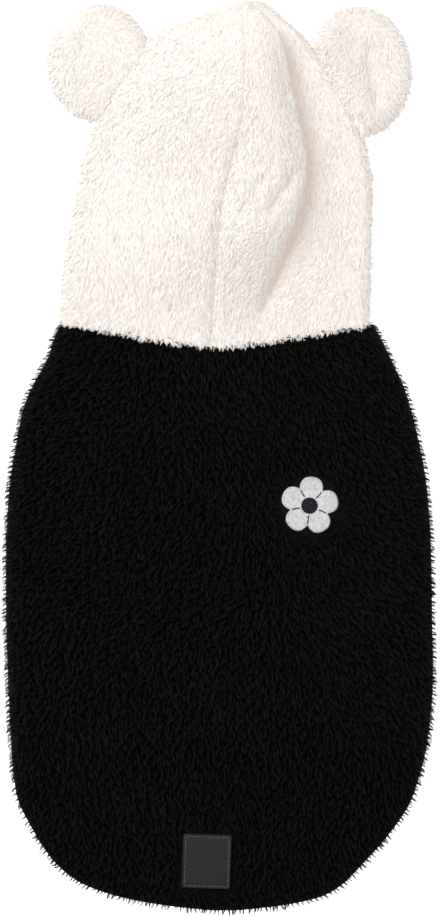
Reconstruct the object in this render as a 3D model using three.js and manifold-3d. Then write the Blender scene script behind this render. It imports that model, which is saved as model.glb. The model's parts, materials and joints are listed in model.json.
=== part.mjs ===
// A dog hoodie laid flat with its back up. Millimetres, +Z up, +Y towards the hood.
// The black fleece body is a flattened tube: a back panel that drapes to the surface at both
// sides, over a shorter belly panel with two leg holes. The cream hood is a shell of two side
// panels, with its face opening underneath and its crown folded over towards +X. Wall
// thicknesses reach to the tips of the pile.
import * as THREE from "three";
import { mergeVertices, toCreasedNormals } from "three/addons/utils/BufferGeometryUtils.js";
import Module from "manifold-3d";

const wasm = await Module();
wasm.setup();

// Cloth and seams
const BODY_PILE = 8; // wall of the body fleece, backing and pile
const HOOD_PILE = 6.5; // wall of the hood fleece
const SEAM_GAP = 0.3;
const LAYER_GAP = 0.4; // between panels that lie on each other
const SLIVER = 0.05; // what cuts leave below this is smoothed away

// Body: the outline of the back panel, to the tips of its pile
const BODY_OUTLINE = [
  { y: 96, left: -112, right: 108 },
  { y: 84, left: -117.5, right: 115 },
  { y: 69, left: -122.5, right: 122 },
  { y: 52, left: -132, right: 130 },
  { y: 35, left: -139, right: 135.5 },
  { y: 10, left: -144, right: 141.5 },
  { y: -18, left: -148.5, right: 146.5 },
  { y: -60, left: -151, right: 149.5 },
  { y: -110, left: -151, right: 150.5 },
  { y: -160, left: -149.5, right: 151 },
  { y: -200, left: -147.5, right: 147 },
  { y: -225, left: -145.5, right: 141 },
  { y: -242, left: -142, right: 135 },
  { y: -258, left: -134, right: 125 },
  { y: -274, left: -124.5, right: 112 },
  { y: -288, left: -113, right: 99 },
  { y: -300, left: -96, right: 87 },
  { y: -309, left: -70, right: 71 },
  { y: -315, left: -38, right: 44 },
  { y: -318.5, left: -6, right: 12 },
];
const NECK = { y: 78, rise: 18, halfWidth: 112, power: 1.3 };
const BELLY = {
  sideInset: 9, // thickness of the back panel where it comes down beside the belly
  sideRound: 10,
  hemY: -186,
  hemDip: 24, // how much lower the hem is at the side seams
  hemHalfWidth: 130,
  hemDrape: 34, // over this length the back panel comes down beyond the hem
};
const LEG_HOLE = { x: 60, y: 34, halfWidth: 30, halfLength: 38 };

// Hood: a row for each section from the neck to the crown. left and right are the outline,
// edge is the height at the side folds, flap is how far the folded crown reaches, turn is the
// angle through which the cloth turns under it, tuck the length that is turned under, crest
// how far the crown stands above the flap, and flank the slope between them in degrees.
const HOOD_ROWS = [
  { y: 96, left: -113, right: 105, edge: 15.6, flap: 24, turn: 6, tuck: 2, crest: 0, flank: 0 },
  { y: 112, left: -112.3, right: 106, edge: 15.2, flap: 30, turn: 22, tuck: 3, crest: 1, flank: 4 },
  { y: 130, left: -110.8, right: 106.2, edge: 14.8, flap: 37, turn: 62, tuck: 5, crest: 2, flank: 8 },
  { y: 150, left: -108.3, right: 106.6, edge: 14.6, flap: 45.5, turn: 110, tuck: 7, crest: 3, flank: 12 },
  { y: 172, left: -104.3, right: 107.2, edge: 14.8, flap: 55, turn: 150, tuck: 9, crest: 4, flank: 16 },
  { y: 196, left: -99.8, right: 107, edge: 15.4, flap: 60.5, turn: 170, tuck: 11, crest: 5.5, flank: 20 },
  { y: 218, left: -94, right: 103, edge: 16.4, flap: 60.5, turn: 175, tuck: 11, crest: 7, flank: 24 },
  { y: 240, left: -85.6, right: 96, edge: 17.6, flap: 55, turn: 172, tuck: 10, crest: 8, flank: 24 },
  { y: 262, left: -72.8, right: 84, edge: 18.2, flap: 50.5, turn: 164, tuck: 8, crest: 7.5, flank: 22 },
  { y: 282, left: -58, right: 70.8, edge: 17.4, flap: 46.5, turn: 146, tuck: 6, crest: 5.5, flank: 18 },
  { y: 297, left: -47.5, right: 57.5, edge: 16, flap: 41, turn: 110, tuck: 3.5, crest: 3, flank: 12 },
  { y: 307, left: -24, right: 46, edge: 14.6, flap: 34.5, turn: 66, tuck: 1.5, crest: 1.2, flank: 6 },
  { y: 314, left: -5, right: 38, edge: 13.8, flap: 29, turn: 32, tuck: 1, crest: 0.3, flank: 2 },
  { y: 318, left: 5.5, right: 32.5, edge: 13.4, flap: 26, turn: 20, tuck: 1, crest: 0, flank: 0 },
  { y: 319.5, left: 7.5, right: 30.5, edge: 13.3, flap: 26, turn: 18, tuck: 1, crest: 0, flank: 0 },
];
const FOLD_RADIUS = 4; // of the cloth's middle where it turns
const CREST_SHARE = 0.85; // of the way from the left fold to the flap
const RISE = { share: 0.45, height: 0.68 };
const NECK_FADE = 60; // the curve of the neck seam fades out over this height
const FACE_OPENING = { x: 4, y: 181.3, halfWidth: 52.7, halfLength: 65.2 };
const SEAM_LINE = [
  { y: 60, x: -10 },
  { y: 96, x: -6 },
  { y: 135, x: -2 },
  { y: 184, x: 3 },
  { y: 219, x: 12 },
  { y: 246, x: 17 },
  { y: 280, x: 18.4 },
  { y: 330, x: 16.2 },
];

// Ears: egg-shaped discs, each ear a front and a back. An ear starts at a straight base from
// x0, y0 to x1, y1, where it is lifted by the hood's side, and it comes down over reach.
const EARS = [
  {
    side: "left",
    disc: { x: -85, y: 277.5, halfWidth: 37, halfLength: 42, thick: 8.4 },
    base: { x0: -75, y0: 220, x1: -25, y1: 335, lift: 0, reach: 30 },
  },
  {
    side: "right",
    disc: { x: 96.5, y: 270.5, halfWidth: 38, halfLength: 46.5, thick: 10.2 },
    base: { x0: 59, y0: 299, x1: 104, y1: 217, lift: 9, reach: 38 },
  },
];
const EAR_CREASE = { x0: 104, y0: 284, x1: 109, y1: 250, width: 6, depth: 2.2 };

// What lies on the back panel
const BADGE = { x: 63, y: -33, radius: 20, petals: 5, notch: 0.34, turn: 84, thick: 1.6 };
const BADGE_CENTRE = { radius: 5.5, thick: 0.9 };
const LABEL = { x: -9, y: -282.5, width: 34, length: 38, corner: 1.6, thick: 1.4, tilt: -2 };
const PRESSED = 3; // how far stitching pulls the pile down
const PRESSED_MARGIN = 3;

// Soft troughs on the outside: from, to, half width and depth
const HOOD_TROUGHS = [
  { x0: -6, y0: 92, x1: -1, y1: 160, width: 6, depth: 1.6 },
  { x0: -1, y0: 160, x1: 12, y1: 216, width: 8, depth: 3.2 },
  { x0: 52, y0: 200, x1: 36, y1: 172, width: 6, depth: 2.4 },
  { x0: -70, y0: 150, x1: -40, y1: 112, width: 12, depth: 1.2 },
  { x0: 78, y0: 205, x1: 88, y1: 150, width: 12, depth: 1.6 },
];
const BODY_TROUGHS = [
  { x0: -2, y0: 20, x1: -8, y1: -60, width: 16, depth: 1.2 },
  { x0: -110, y0: -20, x1: -60, y1: -95, width: 15, depth: 1.6 },
  { x0: 30, y0: -70, x1: 12, y1: -150, width: 14, depth: 1.4 },
  { x0: 118, y0: 20, x1: 96, y1: -50, width: 13, depth: 1.3 },
  { x0: 120, y0: -150, x1: 70, y1: -205, width: 15, depth: 1.5 },
  { x0: -95, y0: -165, x1: -125, y1: -235, width: 14, depth: 1.3 },
];

const HALF_HOOD = HOOD_PILE / 2;
const BACK_LEVEL = BODY_PILE + LAYER_GAP; // underside of the back panel on the belly
const RADIANS = Math.PI / 180;

const clamp01 = (v) => Math.min(1, Math.max(0, v));
const mix = (a, b, share) => a + (b - a) * share;
const smooth = (v) => clamp01(v) ** 2 * (3 - 2 * clamp01(v));
// The height of a round edge, as a share, at a distance in from it
const round = (share) => Math.sqrt(1 - (1 - clamp01(share)) ** 2);

// A table row between rows, with every column on one smooth curve
function rowAt(table, t) {
  const i = Math.min(Math.floor(t), table.length - 2);
  const near = [i - 1, i, i + 1, i + 2].map((k) => table[Math.min(Math.max(k, 0), table.length - 1)]);
  const f = t - i;
  const made = {};
  for (const key of Object.keys(table[0])) {
    const [a, b, c, d] = near.map((row) => row[key]);
    made[key] = b + 0.5 * f * (c - a + f * (2 * a - 5 * b + 4 * c - d + f * (3 * (b - c) + d - a)));
  }
  return made;
}

// The table's row at a given y
function rowAtY(table, y) {
  const falling = table[0].y > table[table.length - 1].y;
  const last = table.length - 2;
  let i = 0;
  while (i < last && (falling ? table[i + 1].y > y : table[i + 1].y < y)) i += 1;
  const share = clamp01((y - table[i].y) / (table[i + 1].y - table[i].y));
  return rowAt(table, i + share);
}

const neckY = (x) => NECK.y + NECK.rise * Math.abs(x / NECK.halfWidth) ** NECK.power;
const bellyHemY = (x) => BELLY.hemY - BELLY.hemDip * (x / BELLY.hemHalfWidth) ** 2;

// How deep the troughs are at a point
function troughs(table, x, y) {
  let depth = 0;
  for (const t of table) {
    const [dx, dy] = [t.x1 - t.x0, t.y1 - t.y0];
    const share = clamp01(((x - t.x0) * dx + (y - t.y0) * dy) / (dx * dx + dy * dy));
    const away = Math.hypot(x - t.x0 - share * dx, y - t.y0 - share * dy) / t.width;
    depth += t.depth * Math.exp(-2 * away * away);
  }
  return depth;
}

function geometryOf(points, triangles) {
  const geometry = new THREE.BufferGeometry();
  geometry.setAttribute("position", new THREE.Float32BufferAttribute(points.flat(), 3));
  geometry.setIndex(triangles.flat());
  return geometry;
}

function solidOf(geometry) {
  const bare = geometry.clone();
  bare.deleteAttribute("normal");
  bare.deleteAttribute("uv");
  const merged = mergeVertices(bare, 1e-3);
  const triVerts = [];
  for (let i = 0; i < merged.index.count; i += 3) {
    const [a, b, c] = merged.index.array.slice(i, i + 3);
    if (a !== b && b !== c && c !== a) triVerts.push(a, b, c);
  }
  return new wasm.Manifold(
    new wasm.Mesh({
      numProp: 3,
      vertProperties: new Float32Array(merged.attributes.position.array),
      triVerts: new Uint32Array(triVerts),
    }),
  );
}

function geometryFrom(solid) {
  const mesh = solid.asOriginal().simplify(SLIVER).getMesh();
  const points = [];
  for (let i = 0; i < mesh.numVert; i += 1) {
    points.push([...mesh.vertProperties.subarray(i * mesh.numProp, i * mesh.numProp + 3)]);
  }
  return toCreasedNormals(geometryOf(points, [...mesh.triVerts]), 40 * RADIANS);
}

// A prism over a flat outline of [x, y] points, from z = low to z = high
function prism(outline, low, high) {
  const shape = new THREE.Shape(outline.map(([x, y]) => new THREE.Vector2(x, y)));
  const geometry = new THREE.ExtrudeGeometry(shape, { depth: high - low, bevelEnabled: false });
  geometry.translate(0, 0, low);
  return solidOf(geometry);
}

function ellipse(cx, cy, halfWidth, halfLength, count) {
  const angles = Array.from({ length: count }, (_, i) => (i / count) * 2 * Math.PI);
  return angles.map((a) => [cx + halfWidth * Math.cos(a), cy + halfLength * Math.sin(a)]);
}

// A closed panel made of rings that step in from its outline, which runs anticlockwise.
// Each ring point goes from the outline to its own point of the spine, where the rings end.
// The rings of the top and bottom face each have insets, which are distances in from the
// edge, and then shares of the way that is left. heights gives [bottom, top] at a point.
function panel({ outline, spine, top, bottom = top, heights }) {
  const count = outline.length;
  const rays = outline.map(([x, y], i) => {
    const [before, after] = [outline[(i + count - 1) % count], outline[(i + 1) % count]];
    const [tx, ty] = [after[0] - before[0], after[1] - before[1]];
    const target = spine(x, y);
    const inward = ((target[0] - x) * -ty + (target[1] - y) * tx) / Math.hypot(tx, ty);
    return { x, y, target, inward };
  });
  const points = [];
  const triangles = [];
  const ring = (level, side) => {
    const start = points.length;
    rays.forEach((ray, i) => {
      const way = level(ray);
      const [x, y] = [mix(ray.x, ray.target[0], way), mix(ray.y, ray.target[1], way)];
      points.push([x, y, heights(x, y, way * ray.inward, i)[side]]);
    });
    return start;
  };
  const edge = ring(() => 0, 1);
  for (const [side, { insets, shares }] of [[1, top], [0, bottom]]) {
    const face = (a, b, c) => triangles.push(side ? [a, b, c] : [a, c, b]);
    const deepest = insets.length ? insets[insets.length - 1] : 0;
    const levels = [
      ...insets.map((inset) => (ray) => inset / ray.inward),
      ...shares.map((share) => (ray) => mix(deepest / ray.inward, 1, share)),
      () => 1,
    ];
    let outer = edge;
    for (const level of levels) {
      const inner = ring(level, side);
      for (let i = 0; i < count; i += 1) {
        const j = (i + 1) % count;
        face(outer + i, outer + j, inner + j);
        face(outer + i, inner + j, inner + i);
      }
      outer = inner;
    }
  }
  return solidOf(geometryOf(points, triangles));
}

// Body

const sideRoom = (x, y) => {
  const row = rowAtY(BODY_OUTLINE, y);
  return Math.min(x - row.left, row.right - x);
};

// 1 where the back panel lies on the belly panel, and 0 where it lies on the surface below
const onBelly = (x, y) => smooth((y - bellyHemY(x) + BELLY.hemDrape) / (BELLY.hemDrape + 2));

// Half of the body's outline, from the neck corner down to the hem, as [x, y] points
function sideLine(side, inset, steps) {
  const points = [];
  for (let i = 0; i <= steps; i += 1) {
    const row = rowAt(BODY_OUTLINE, (i / steps) * (BODY_OUTLINE.length - 1));
    const x = side === "left" ? row.left + inset : row.right - inset;
    points.push([x, Math.min(row.y, neckY(x))]);
  }
  return points;
}

function neckLine(left, right, steps) {
  const points = [];
  for (let i = 1; i < 2 * steps; i += 1) {
    const x = i < steps ? mix(right, 0, i / steps) : mix(0, left, i / steps - 1);
    points.push([x, neckY(x)]);
  }
  return points;
}

function backTop(x, y, inset) {
  const onSurface = BODY_PILE / 2 + (BODY_PILE / 2) * round(inset / BODY_PILE);
  const raised = 5 + (BACK_LEVEL + BODY_PILE - 5) * round(sideRoom(x, y) / 15);
  const form = troughs(BODY_TROUGHS, x, y) * smooth(inset / 25);
  return mix(onSurface, raised, onBelly(x, y)) - form;
}

const backBottom = (x, y) =>
  BACK_LEVEL * onBelly(x, y) * round((sideRoom(x, y) - BELLY.sideInset) / BELLY.sideRound);

const SIDE_INSETS = [1, 3, 6, 9, 11, 14, 19];
const UNDER_BACK = { insets: SIDE_INSETS, shares: [0.45] };
const BACK_FACE = { insets: [1, 3.5, 8, 15], shares: [0.14, 0.3, 0.47, 0.65, 0.83] };

// The body's outline, and the rings that both of its panels are made from
function bodyRings(top, heights) {
  const sideSteps = 38;
  const left = sideLine("left", 0, sideSteps);
  const right = sideLine("right", 0, sideSteps).reverse();
  const neck = neckLine(left[0][0], right[sideSteps][0], 10);
  const firstNeck = left.length + right.length;
  return panel({
    outline: [...left, ...right, ...neck],
    spine: (x, y) => [0, Math.min(40, Math.max(-235, y))],
    top,
    bottom: UNDER_BACK,
    heights: (x, y, inset, i) => heights(x, y, inset, i >= firstNeck),
  });
}

function backPanel() {
  return bodyRings(BACK_FACE, (x, y, inset, atNeck) => {
    const bottom = backBottom(x, y);
    const top = backTop(x, y, inset);
    if (atNeck) {
      const seam = bottom + BODY_PILE / 2;
      return [mix(seam, bottom, round(inset / 5)), mix(seam, top, round(inset / 5))];
    }
    const edge = mix(BODY_PILE / 2, 5, onBelly(x, y));
    return [Math.max(edge * (1 - round(inset / 4)), bottom), inset ? top : edge];
  });
}

// The belly panel fills the room under the back panel as far as its own outline
function bellyPanel() {
  const roomTop = (x, y, inset) => (inset ? backBottom(x, y) - LAYER_GAP : -3);
  const room = bodyRings(UNDER_BACK, (x, y, inset) => [-3, roomTop(x, y, inset)]);
  const inset = BELLY.sideInset + SEAM_GAP;
  const isIn = ([x, y]) => y > bellyHemY(x) + 2 && y < neckY(x) - 4;
  const left = sideLine("left", inset, 38).filter(isIn);
  const right = sideLine("right", inset, 38).filter(isIn).reverse();
  const hem = [];
  const [from, to] = [left[left.length - 1][0], right[0][0]];
  for (let i = 1; i < 14; i += 1) {
    const x = mix(from, to, i / 14);
    hem.push([x, bellyHemY(x)]);
  }
  const neck = neckLine(left[0][0], right[right.length - 1][0], 10);
  let solid = room.intersect(prism([...left, ...hem, ...right, ...neck], 0, BODY_PILE + 2));
  for (const side of [-1, 1]) {
    const { x, y, halfWidth, halfLength } = LEG_HOLE;
    const hole = ellipse(side * x, y, halfWidth, halfLength, 28);
    solid = solid.subtract(prism(hole, -2, BODY_PILE + 2));
  }
  return solid;
}

// Hood

// The middle of the hood's cloth in one section, as [x, z] points clockwise from the bottom
// of the left fold: up the left side, over the crown, down its fold, out to the right side
// and back underneath.
function hoodSection(row) {
  const low = HALF_HOOD;
  const side = (row.edge - HOOD_PILE) / 2;
  const turn = row.turn * RADIANS;
  const flank = Math.min(row.flank * RADIANS, turn);
  const path = [];
  const arc = (cx, cz, radius, from, to, steps) => {
    for (let i = 0; i <= steps; i += 1) {
      const a = mix(from, to, i / steps);
      path.push([cx + radius * Math.sin(a), cz + radius * Math.cos(a)]);
    }
  };
  const leftX = row.left + HALF_HOOD + side;
  arc(leftX, low + side, side, -Math.PI, 0, 5);
  const level = row.edge - HALF_HOOD;
  const foldX = row.flap - HALF_HOOD - FOLD_RADIUS;
  const foldZ = level + FOLD_RADIUS - 2 * FOLD_RADIUS * Math.cos(turn) + row.tuck * Math.sin(turn);
  const start = [leftX, level];
  const end = [foldX + FOLD_RADIUS * Math.sin(flank), foldZ + FOLD_RADIUS * Math.cos(flank)];
  const crestZ = end[1] + row.crest;
  const crown = new THREE.SplineCurve(
    [
      start,
      [mix(start[0], end[0], RISE.share), mix(start[1], crestZ, RISE.height)],
      [mix(start[0], end[0], CREST_SHARE), crestZ],
      end,
    ].map(([x, z]) => new THREE.Vector2(x, z)),
  );
  for (const p of crown.getPoints(10).slice(1, -1)) path.push([p.x, p.y]);
  arc(foldX, foldZ, FOLD_RADIUS, flank, turn, 5);
  const under = path[path.length - 1];
  const backX = under[0] + row.tuck * Math.cos(turn) + FOLD_RADIUS * Math.sin(turn);
  const backZ = level + FOLD_RADIUS;
  arc(backX, backZ, FOLD_RADIUS, turn + Math.PI, Math.PI, 4);
  const rightX = row.right - HALF_HOOD - side;
  for (let i = 1; i < 4; i += 1) path.push([mix(backX, rightX, i / 4), level]);
  arc(rightX, low + side, side, 0, Math.PI, 5);
  for (let i = 1; i < 4; i += 1) path.push([mix(rightX, leftX, i / 4), low]);
  return path;
}

// The section's outer and inner rings as [x, y, z] points
function hoodRings(row, grown) {
  const path = hoodSection(row);
  const fade = 1 - smooth((row.y - HOOD_ROWS[0].y) / NECK_FADE);
  const place = (x, z) => [x, row.y + (neckY(x) + SEAM_GAP - HOOD_ROWS[0].y) * fade, z];
  const outer = [];
  const inner = [];
  path.forEach(([x, z], i) => {
    const before = path[(i + path.length - 1) % path.length];
    const after = path[(i + 1) % path.length];
    const [tx, tz] = [after[0] - before[0], after[1] - before[1]];
    const length = Math.hypot(tx, tz);
    const [nx, nz] = [-tz / length, tx / length];
    const dent = troughs(HOOD_TROUGHS, x, row.y) * clamp01(nz) ** 2;
    const out = HALF_HOOD + grown - dent;
    outer.push(place(x + nx * out, z + nz * out));
    inner.push(place(x - nx * HALF_HOOD, z - nz * HALF_HOOD));
  });
  return { outer, inner };
}

function hoodRows(grown) {
  const perRow = 2;
  const rows = [];
  for (let i = 0; i <= (HOOD_ROWS.length - 1) * perRow; i += 1) {
    rows.push(hoodRings(rowAt(HOOD_ROWS, i / perRow), grown));
  }
  return rows;
}

function hoodShell() {
  const rows = hoodRows(0);
  const count = rows[0].outer.length;
  const points = rows.flatMap(({ outer, inner }) => [...outer, ...inner]);
  const triangles = [];
  const quad = (a, b, c, d) => triangles.push([a, b, c], [a, c, d]);
  const at = (r, i, isInner) => r * 2 * count + (isInner ? count : 0) + (i % count);
  const last = rows.length - 1;
  for (let i = 0; i < count; i += 1) {
    for (let r = 0; r < last; r += 1) {
      quad(at(r, i), at(r, i + 1), at(r + 1, i + 1), at(r + 1, i));
      quad(at(r, i, true), at(r + 1, i, true), at(r + 1, i + 1, true), at(r, i + 1, true));
    }
    quad(at(0, i), at(0, i, true), at(0, i + 1, true), at(0, i + 1));
    quad(at(last, i), at(last, i + 1), at(last, i + 1, true), at(last, i, true));
  }
  return solidOf(geometryOf(points, triangles));
}

// The room that the whole hood takes, a little grown, for what has to stay clear of it
function hoodEnvelope() {
  const rows = hoodRows(SEAM_GAP + 0.1);
  const count = rows[0].outer.length;
  const points = rows.flatMap(({ outer }) => outer);
  const triangles = [];
  const last = rows.length - 1;
  for (let i = 0; i < count; i += 1) {
    const j = (i + 1) % count;
    for (let r = 0; r < last; r += 1) {
      const [a, b, c, d] = [r * count + i, r * count + j, (r + 1) * count + j, (r + 1) * count + i];
      triangles.push([a, b, c], [a, c, d]);
    }
  }
  for (const [r, turned] of [[0, false], [last, true]]) {
    const flat = rows[r].outer.map(([x, , z]) => new THREE.Vector2(x, z));
    for (const [a, b, c] of THREE.ShapeUtils.triangulateShape(flat, [])) {
      const face = [r * count + a, r * count + b, r * count + c];
      triangles.push(turned ? face.reverse() : face);
    }
  }
  return solidOf(geometryOf(points, triangles));
}

function hoodSides() {
  const { x, y, halfWidth, halfLength } = FACE_OPENING;
  const opening = prism(ellipse(x, y, halfWidth, halfLength, 40), -2, HOOD_PILE + 0.6);
  const shell = hoodShell().subtract(opening);
  const seam = SEAM_LINE.map((_, i) => i).flatMap((i) => {
    const steps = i < SEAM_LINE.length - 1 ? [0, 0.5] : [0];
    return steps.map((f) => rowAt(SEAM_LINE, i + f));
  });
  const wide = 400;
  const leftOf = seam.map((p) => [p.x - SEAM_GAP / 2, p.y]);
  const rightOf = seam.map((p) => [p.x + SEAM_GAP / 2, p.y]);
  const [low, high] = [seam[0].y, seam[seam.length - 1].y];
  const left = prism([...leftOf, [-wide, high], [-wide, low]], -10, 90);
  const right = prism([...rightOf.reverse(), [wide, low], [wide, high]], -10, 90);
  return { left: shell.intersect(left), right: shell.intersect(right) };
}

// Ears

function earDiscs({ disc, base }, hoodRoom) {
  const [ux, uy] = [base.x1 - base.x0, base.y1 - base.y0];
  const length = Math.hypot(ux, uy);
  // How far a point is out from the ear's base
  const out = (x, y) => ((y - base.y0) * ux - (x - base.x0) * uy) / length;
  const outline = ellipse(disc.x, disc.y, disc.halfWidth, disc.halfLength, 40).map(([x, y]) => {
    const back = Math.min(0, out(x, y)) / length;
    return [x + uy * back, y - ux * back];
  });
  const domed = { insets: [0.8, 2.4, 5, 10], shares: [0.5] };
  const flat = { insets: [], shares: [] };
  const rise = (x, y) => base.lift * smooth(1 - out(x, y) / base.reach);
  const dome = (inset) => disc.thick * round(inset / 12);
  const make = (top, bottom, heights) =>
    panel({
      outline,
      spine: () => [disc.x, disc.y],
      top,
      bottom,
      heights: (x, y, inset) => heights(inset, x, y).map((z) => z + rise(x, y)),
    }).subtract(hoodRoom);
  const lower = disc.thick + SEAM_GAP;
  const face = (inset, x, y) => lower + dome(inset) - troughs([EAR_CREASE], x, y) * clamp01(inset);
  return {
    back: make(flat, domed, (inset) => [disc.thick - dome(inset), disc.thick]),
    front: make(domed, flat, (inset, x, y) => [lower, face(inset, x, y)]),
  };
}

// The part of a solid that is left after a cut, without the slivers
function largest(solid) {
  const parts = solid.decompose();
  return parts.reduce((a, b) => (b.volume() > a.volume() ? b : a));
}

// Badge and label, each sewn down into the pile of the back panel

// The height of the back panel's face where stitching has pressed the pile down
const pressedTop = (x, y) => backTop(x, y, 60) - PRESSED;

// The hollow that a stitched-down piece makes in the pile
function hollow({ outline, middle }) {
  return panel({
    outline,
    spine: () => middle,
    top: { insets: [0.5], shares: [] },
    bottom: { insets: [PRESSED_MARGIN], shares: [0.5] },
    heights: (x, y, inset) => [pressedTop(x, y), inset ? 40 : pressedTop(x, y) + PRESSED + 0.5],
  });
}

// A thin piece that follows the pressed pile, lift above it
function patch({ outline, middle }, lift, thick) {
  return panel({
    outline,
    spine: () => middle,
    top: { insets: [0.4], shares: [0.5] },
    heights: (x, y, inset) => {
      const base = pressedTop(x, y) + lift;
      return inset ? [base, base + thick] : [base, base + thick / 2];
    },
  });
}

function flower() {
  const outline = [];
  const steps = BADGE.petals * 8;
  for (let i = 0; i < steps; i += 1) {
    const a = (i / steps) * 2 * Math.PI;
    const petal = Math.abs(Math.cos((BADGE.petals * (a - BADGE.turn * RADIANS)) / 2));
    const r = BADGE.radius * (1 - BADGE.notch * (1 - petal) ** 1.5);
    outline.push([BADGE.x + r * Math.cos(a), BADGE.y + r * Math.sin(a)]);
  }
  return { outline, middle: [BADGE.x, BADGE.y] };
}

function onFlower(radius, count) {
  return { outline: ellipse(BADGE.x, BADGE.y, radius, radius, count), middle: [BADGE.x, BADGE.y] };
}

function tag(grown) {
  const { width, length, corner } = LABEL;
  const tilt = LABEL.tilt * RADIANS;
  const outline = [];
  for (const [sx, sy, from] of [[1, -1, -90], [1, 1, 0], [-1, 1, 90], [-1, -1, 180]]) {
    const [cx, cy] = [sx * (width / 2 - corner), sy * (length / 2 - corner)];
    for (const step of [0, 30, 60, 90]) {
      const a = (from + step) * RADIANS;
      const [dx, dy] = [cx + (corner + grown) * Math.cos(a), cy + (corner + grown) * Math.sin(a)];
      outline.push([
        LABEL.x + dx * Math.cos(tilt) - dy * Math.sin(tilt),
        LABEL.y + dx * Math.sin(tilt) + dy * Math.cos(tilt),
      ]);
    }
  }
  return { outline, middle: [LABEL.x, LABEL.y] };
}

// Materials and assembly

const blackFleece = new THREE.MeshStandardMaterial({ color: 0x0b0b0b, roughness: 0.95, metalness: 0 });
const creamFleece = new THREE.MeshStandardMaterial({ color: 0xf7efe9, roughness: 0.95, metalness: 0 });
const whiteThread = new THREE.MeshStandardMaterial({ color: 0xf2f2f2, roughness: 0.6, metalness: 0 });
const blackThread = new THREE.MeshStandardMaterial({ color: 0x141418, roughness: 0.6, metalness: 0 });
const greyLeather = new THREE.MeshStandardMaterial({ color: 0x332f2e, roughness: 0.5, metalness: 0 });

const hoodie = new THREE.Group();

function add(name, solid, material) {
  const mesh = new THREE.Mesh(geometryFrom(solid), material);
  mesh.name = name;
  hoodie.add(mesh);
}

const badgeHollow = hollow(onFlower(BADGE.radius + PRESSED_MARGIN + 0.5, 36));
const tagHollow = hollow(tag(PRESSED_MARGIN + 0.5));
add("back_panel", backPanel().subtract(badgeHollow).subtract(tagHollow), blackFleece);
add("belly_panel", bellyPanel(), blackFleece);
const hood = hoodSides();
add("hood_left", largest(hood.left), creamFleece);
add("hood_right", largest(hood.right), creamFleece);
const hoodRoom = hoodEnvelope();
for (const ear of EARS) {
  const { front, back } = earDiscs(ear, hoodRoom);
  add(`ear_${ear.side}_front`, largest(front), creamFleece);
  add(`ear_${ear.side}_back`, largest(back), creamFleece);
}
add("badge", patch(flower(), SEAM_GAP, BADGE.thick), whiteThread);
const onBadge = SEAM_GAP + BADGE.thick + SEAM_GAP;
add("badge_centre", patch(onFlower(BADGE_CENTRE.radius, 20), onBadge, BADGE_CENTRE.thick), blackThread);
add("leather_label", patch(tag(0), SEAM_GAP, LABEL.thick), greyLeather);

// The origin is under the middle of the whole garment, on the surface that it lies on
const whole = new THREE.Box3().setFromObject(hoodie);
const middle = whole.getCenter(new THREE.Vector3());
hoodie.position.set(-middle.x, -middle.y, -whole.min.z);

export default hoodie;
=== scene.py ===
"""A dog hoodie laid flat with its back up: a cream fleece hood with ears on a black fleece body.

Each panel is a thin backing on the form of its solid, with a pile of combed tufts that
Geometry Nodes plant on it. Shapes are worked out in millimetres, as on a cutting pattern,
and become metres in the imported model's frame when a mesh is made.
"""
from __future__ import annotations

import json
import logging
import math
from collections.abc import Callable, Sequence
from dataclasses import dataclass
from enum import Enum

import bmesh
import bpy
import numpy as np
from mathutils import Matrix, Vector

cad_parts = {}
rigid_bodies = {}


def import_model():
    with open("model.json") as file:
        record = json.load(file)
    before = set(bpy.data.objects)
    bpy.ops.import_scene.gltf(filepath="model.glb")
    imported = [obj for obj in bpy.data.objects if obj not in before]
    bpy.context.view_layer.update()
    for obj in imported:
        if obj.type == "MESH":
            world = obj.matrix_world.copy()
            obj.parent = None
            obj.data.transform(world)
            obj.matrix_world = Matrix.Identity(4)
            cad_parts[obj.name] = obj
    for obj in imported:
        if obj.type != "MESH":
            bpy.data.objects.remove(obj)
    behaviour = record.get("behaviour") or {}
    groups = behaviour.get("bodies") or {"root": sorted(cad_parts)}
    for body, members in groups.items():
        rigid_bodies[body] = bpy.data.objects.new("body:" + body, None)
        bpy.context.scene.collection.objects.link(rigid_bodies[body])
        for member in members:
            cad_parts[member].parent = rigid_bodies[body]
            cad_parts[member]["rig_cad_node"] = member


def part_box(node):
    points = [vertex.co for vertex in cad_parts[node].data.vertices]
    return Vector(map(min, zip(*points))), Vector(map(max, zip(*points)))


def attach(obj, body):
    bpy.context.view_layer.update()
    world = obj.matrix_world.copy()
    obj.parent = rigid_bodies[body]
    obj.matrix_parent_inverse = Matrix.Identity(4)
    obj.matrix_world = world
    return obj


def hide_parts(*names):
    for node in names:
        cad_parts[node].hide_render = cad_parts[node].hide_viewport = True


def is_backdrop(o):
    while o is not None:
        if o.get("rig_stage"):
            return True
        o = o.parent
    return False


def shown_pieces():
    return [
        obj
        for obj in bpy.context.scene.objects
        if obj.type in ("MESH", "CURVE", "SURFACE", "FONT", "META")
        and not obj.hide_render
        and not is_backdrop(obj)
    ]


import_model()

Array = np.ndarray
Face = tuple[int, ...]
Heights = Callable[[Array, Array, Array], tuple[Array, Array]]
Object = bpy.types.Object
Material = bpy.types.Material

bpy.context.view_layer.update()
BODY = "root"
MM = 0.001
DOUBLED = 0.01 * MM  # points of a piece that are closer than this are one point

log = logging.getLogger("hoodie")


class Side(Enum):
    """Which side of the garment a piece is on, as it lies."""

    LEFT = "left"
    RIGHT = "right"


class Ply(Enum):
    """Which layer of an ear a panel is."""

    FRONT = "front"
    BACK = "back"


# Small maths


def clamp01(value: Array | float) -> Array:
    """Keeps a value between 0 and 1."""
    return np.clip(value, 0.0, 1.0)


def mix(a: Array | float, b: Array | float, share: Array | float) -> Array:
    """The value that lies at a share of the way from a to b."""
    return a + (b - a) * share


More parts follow.
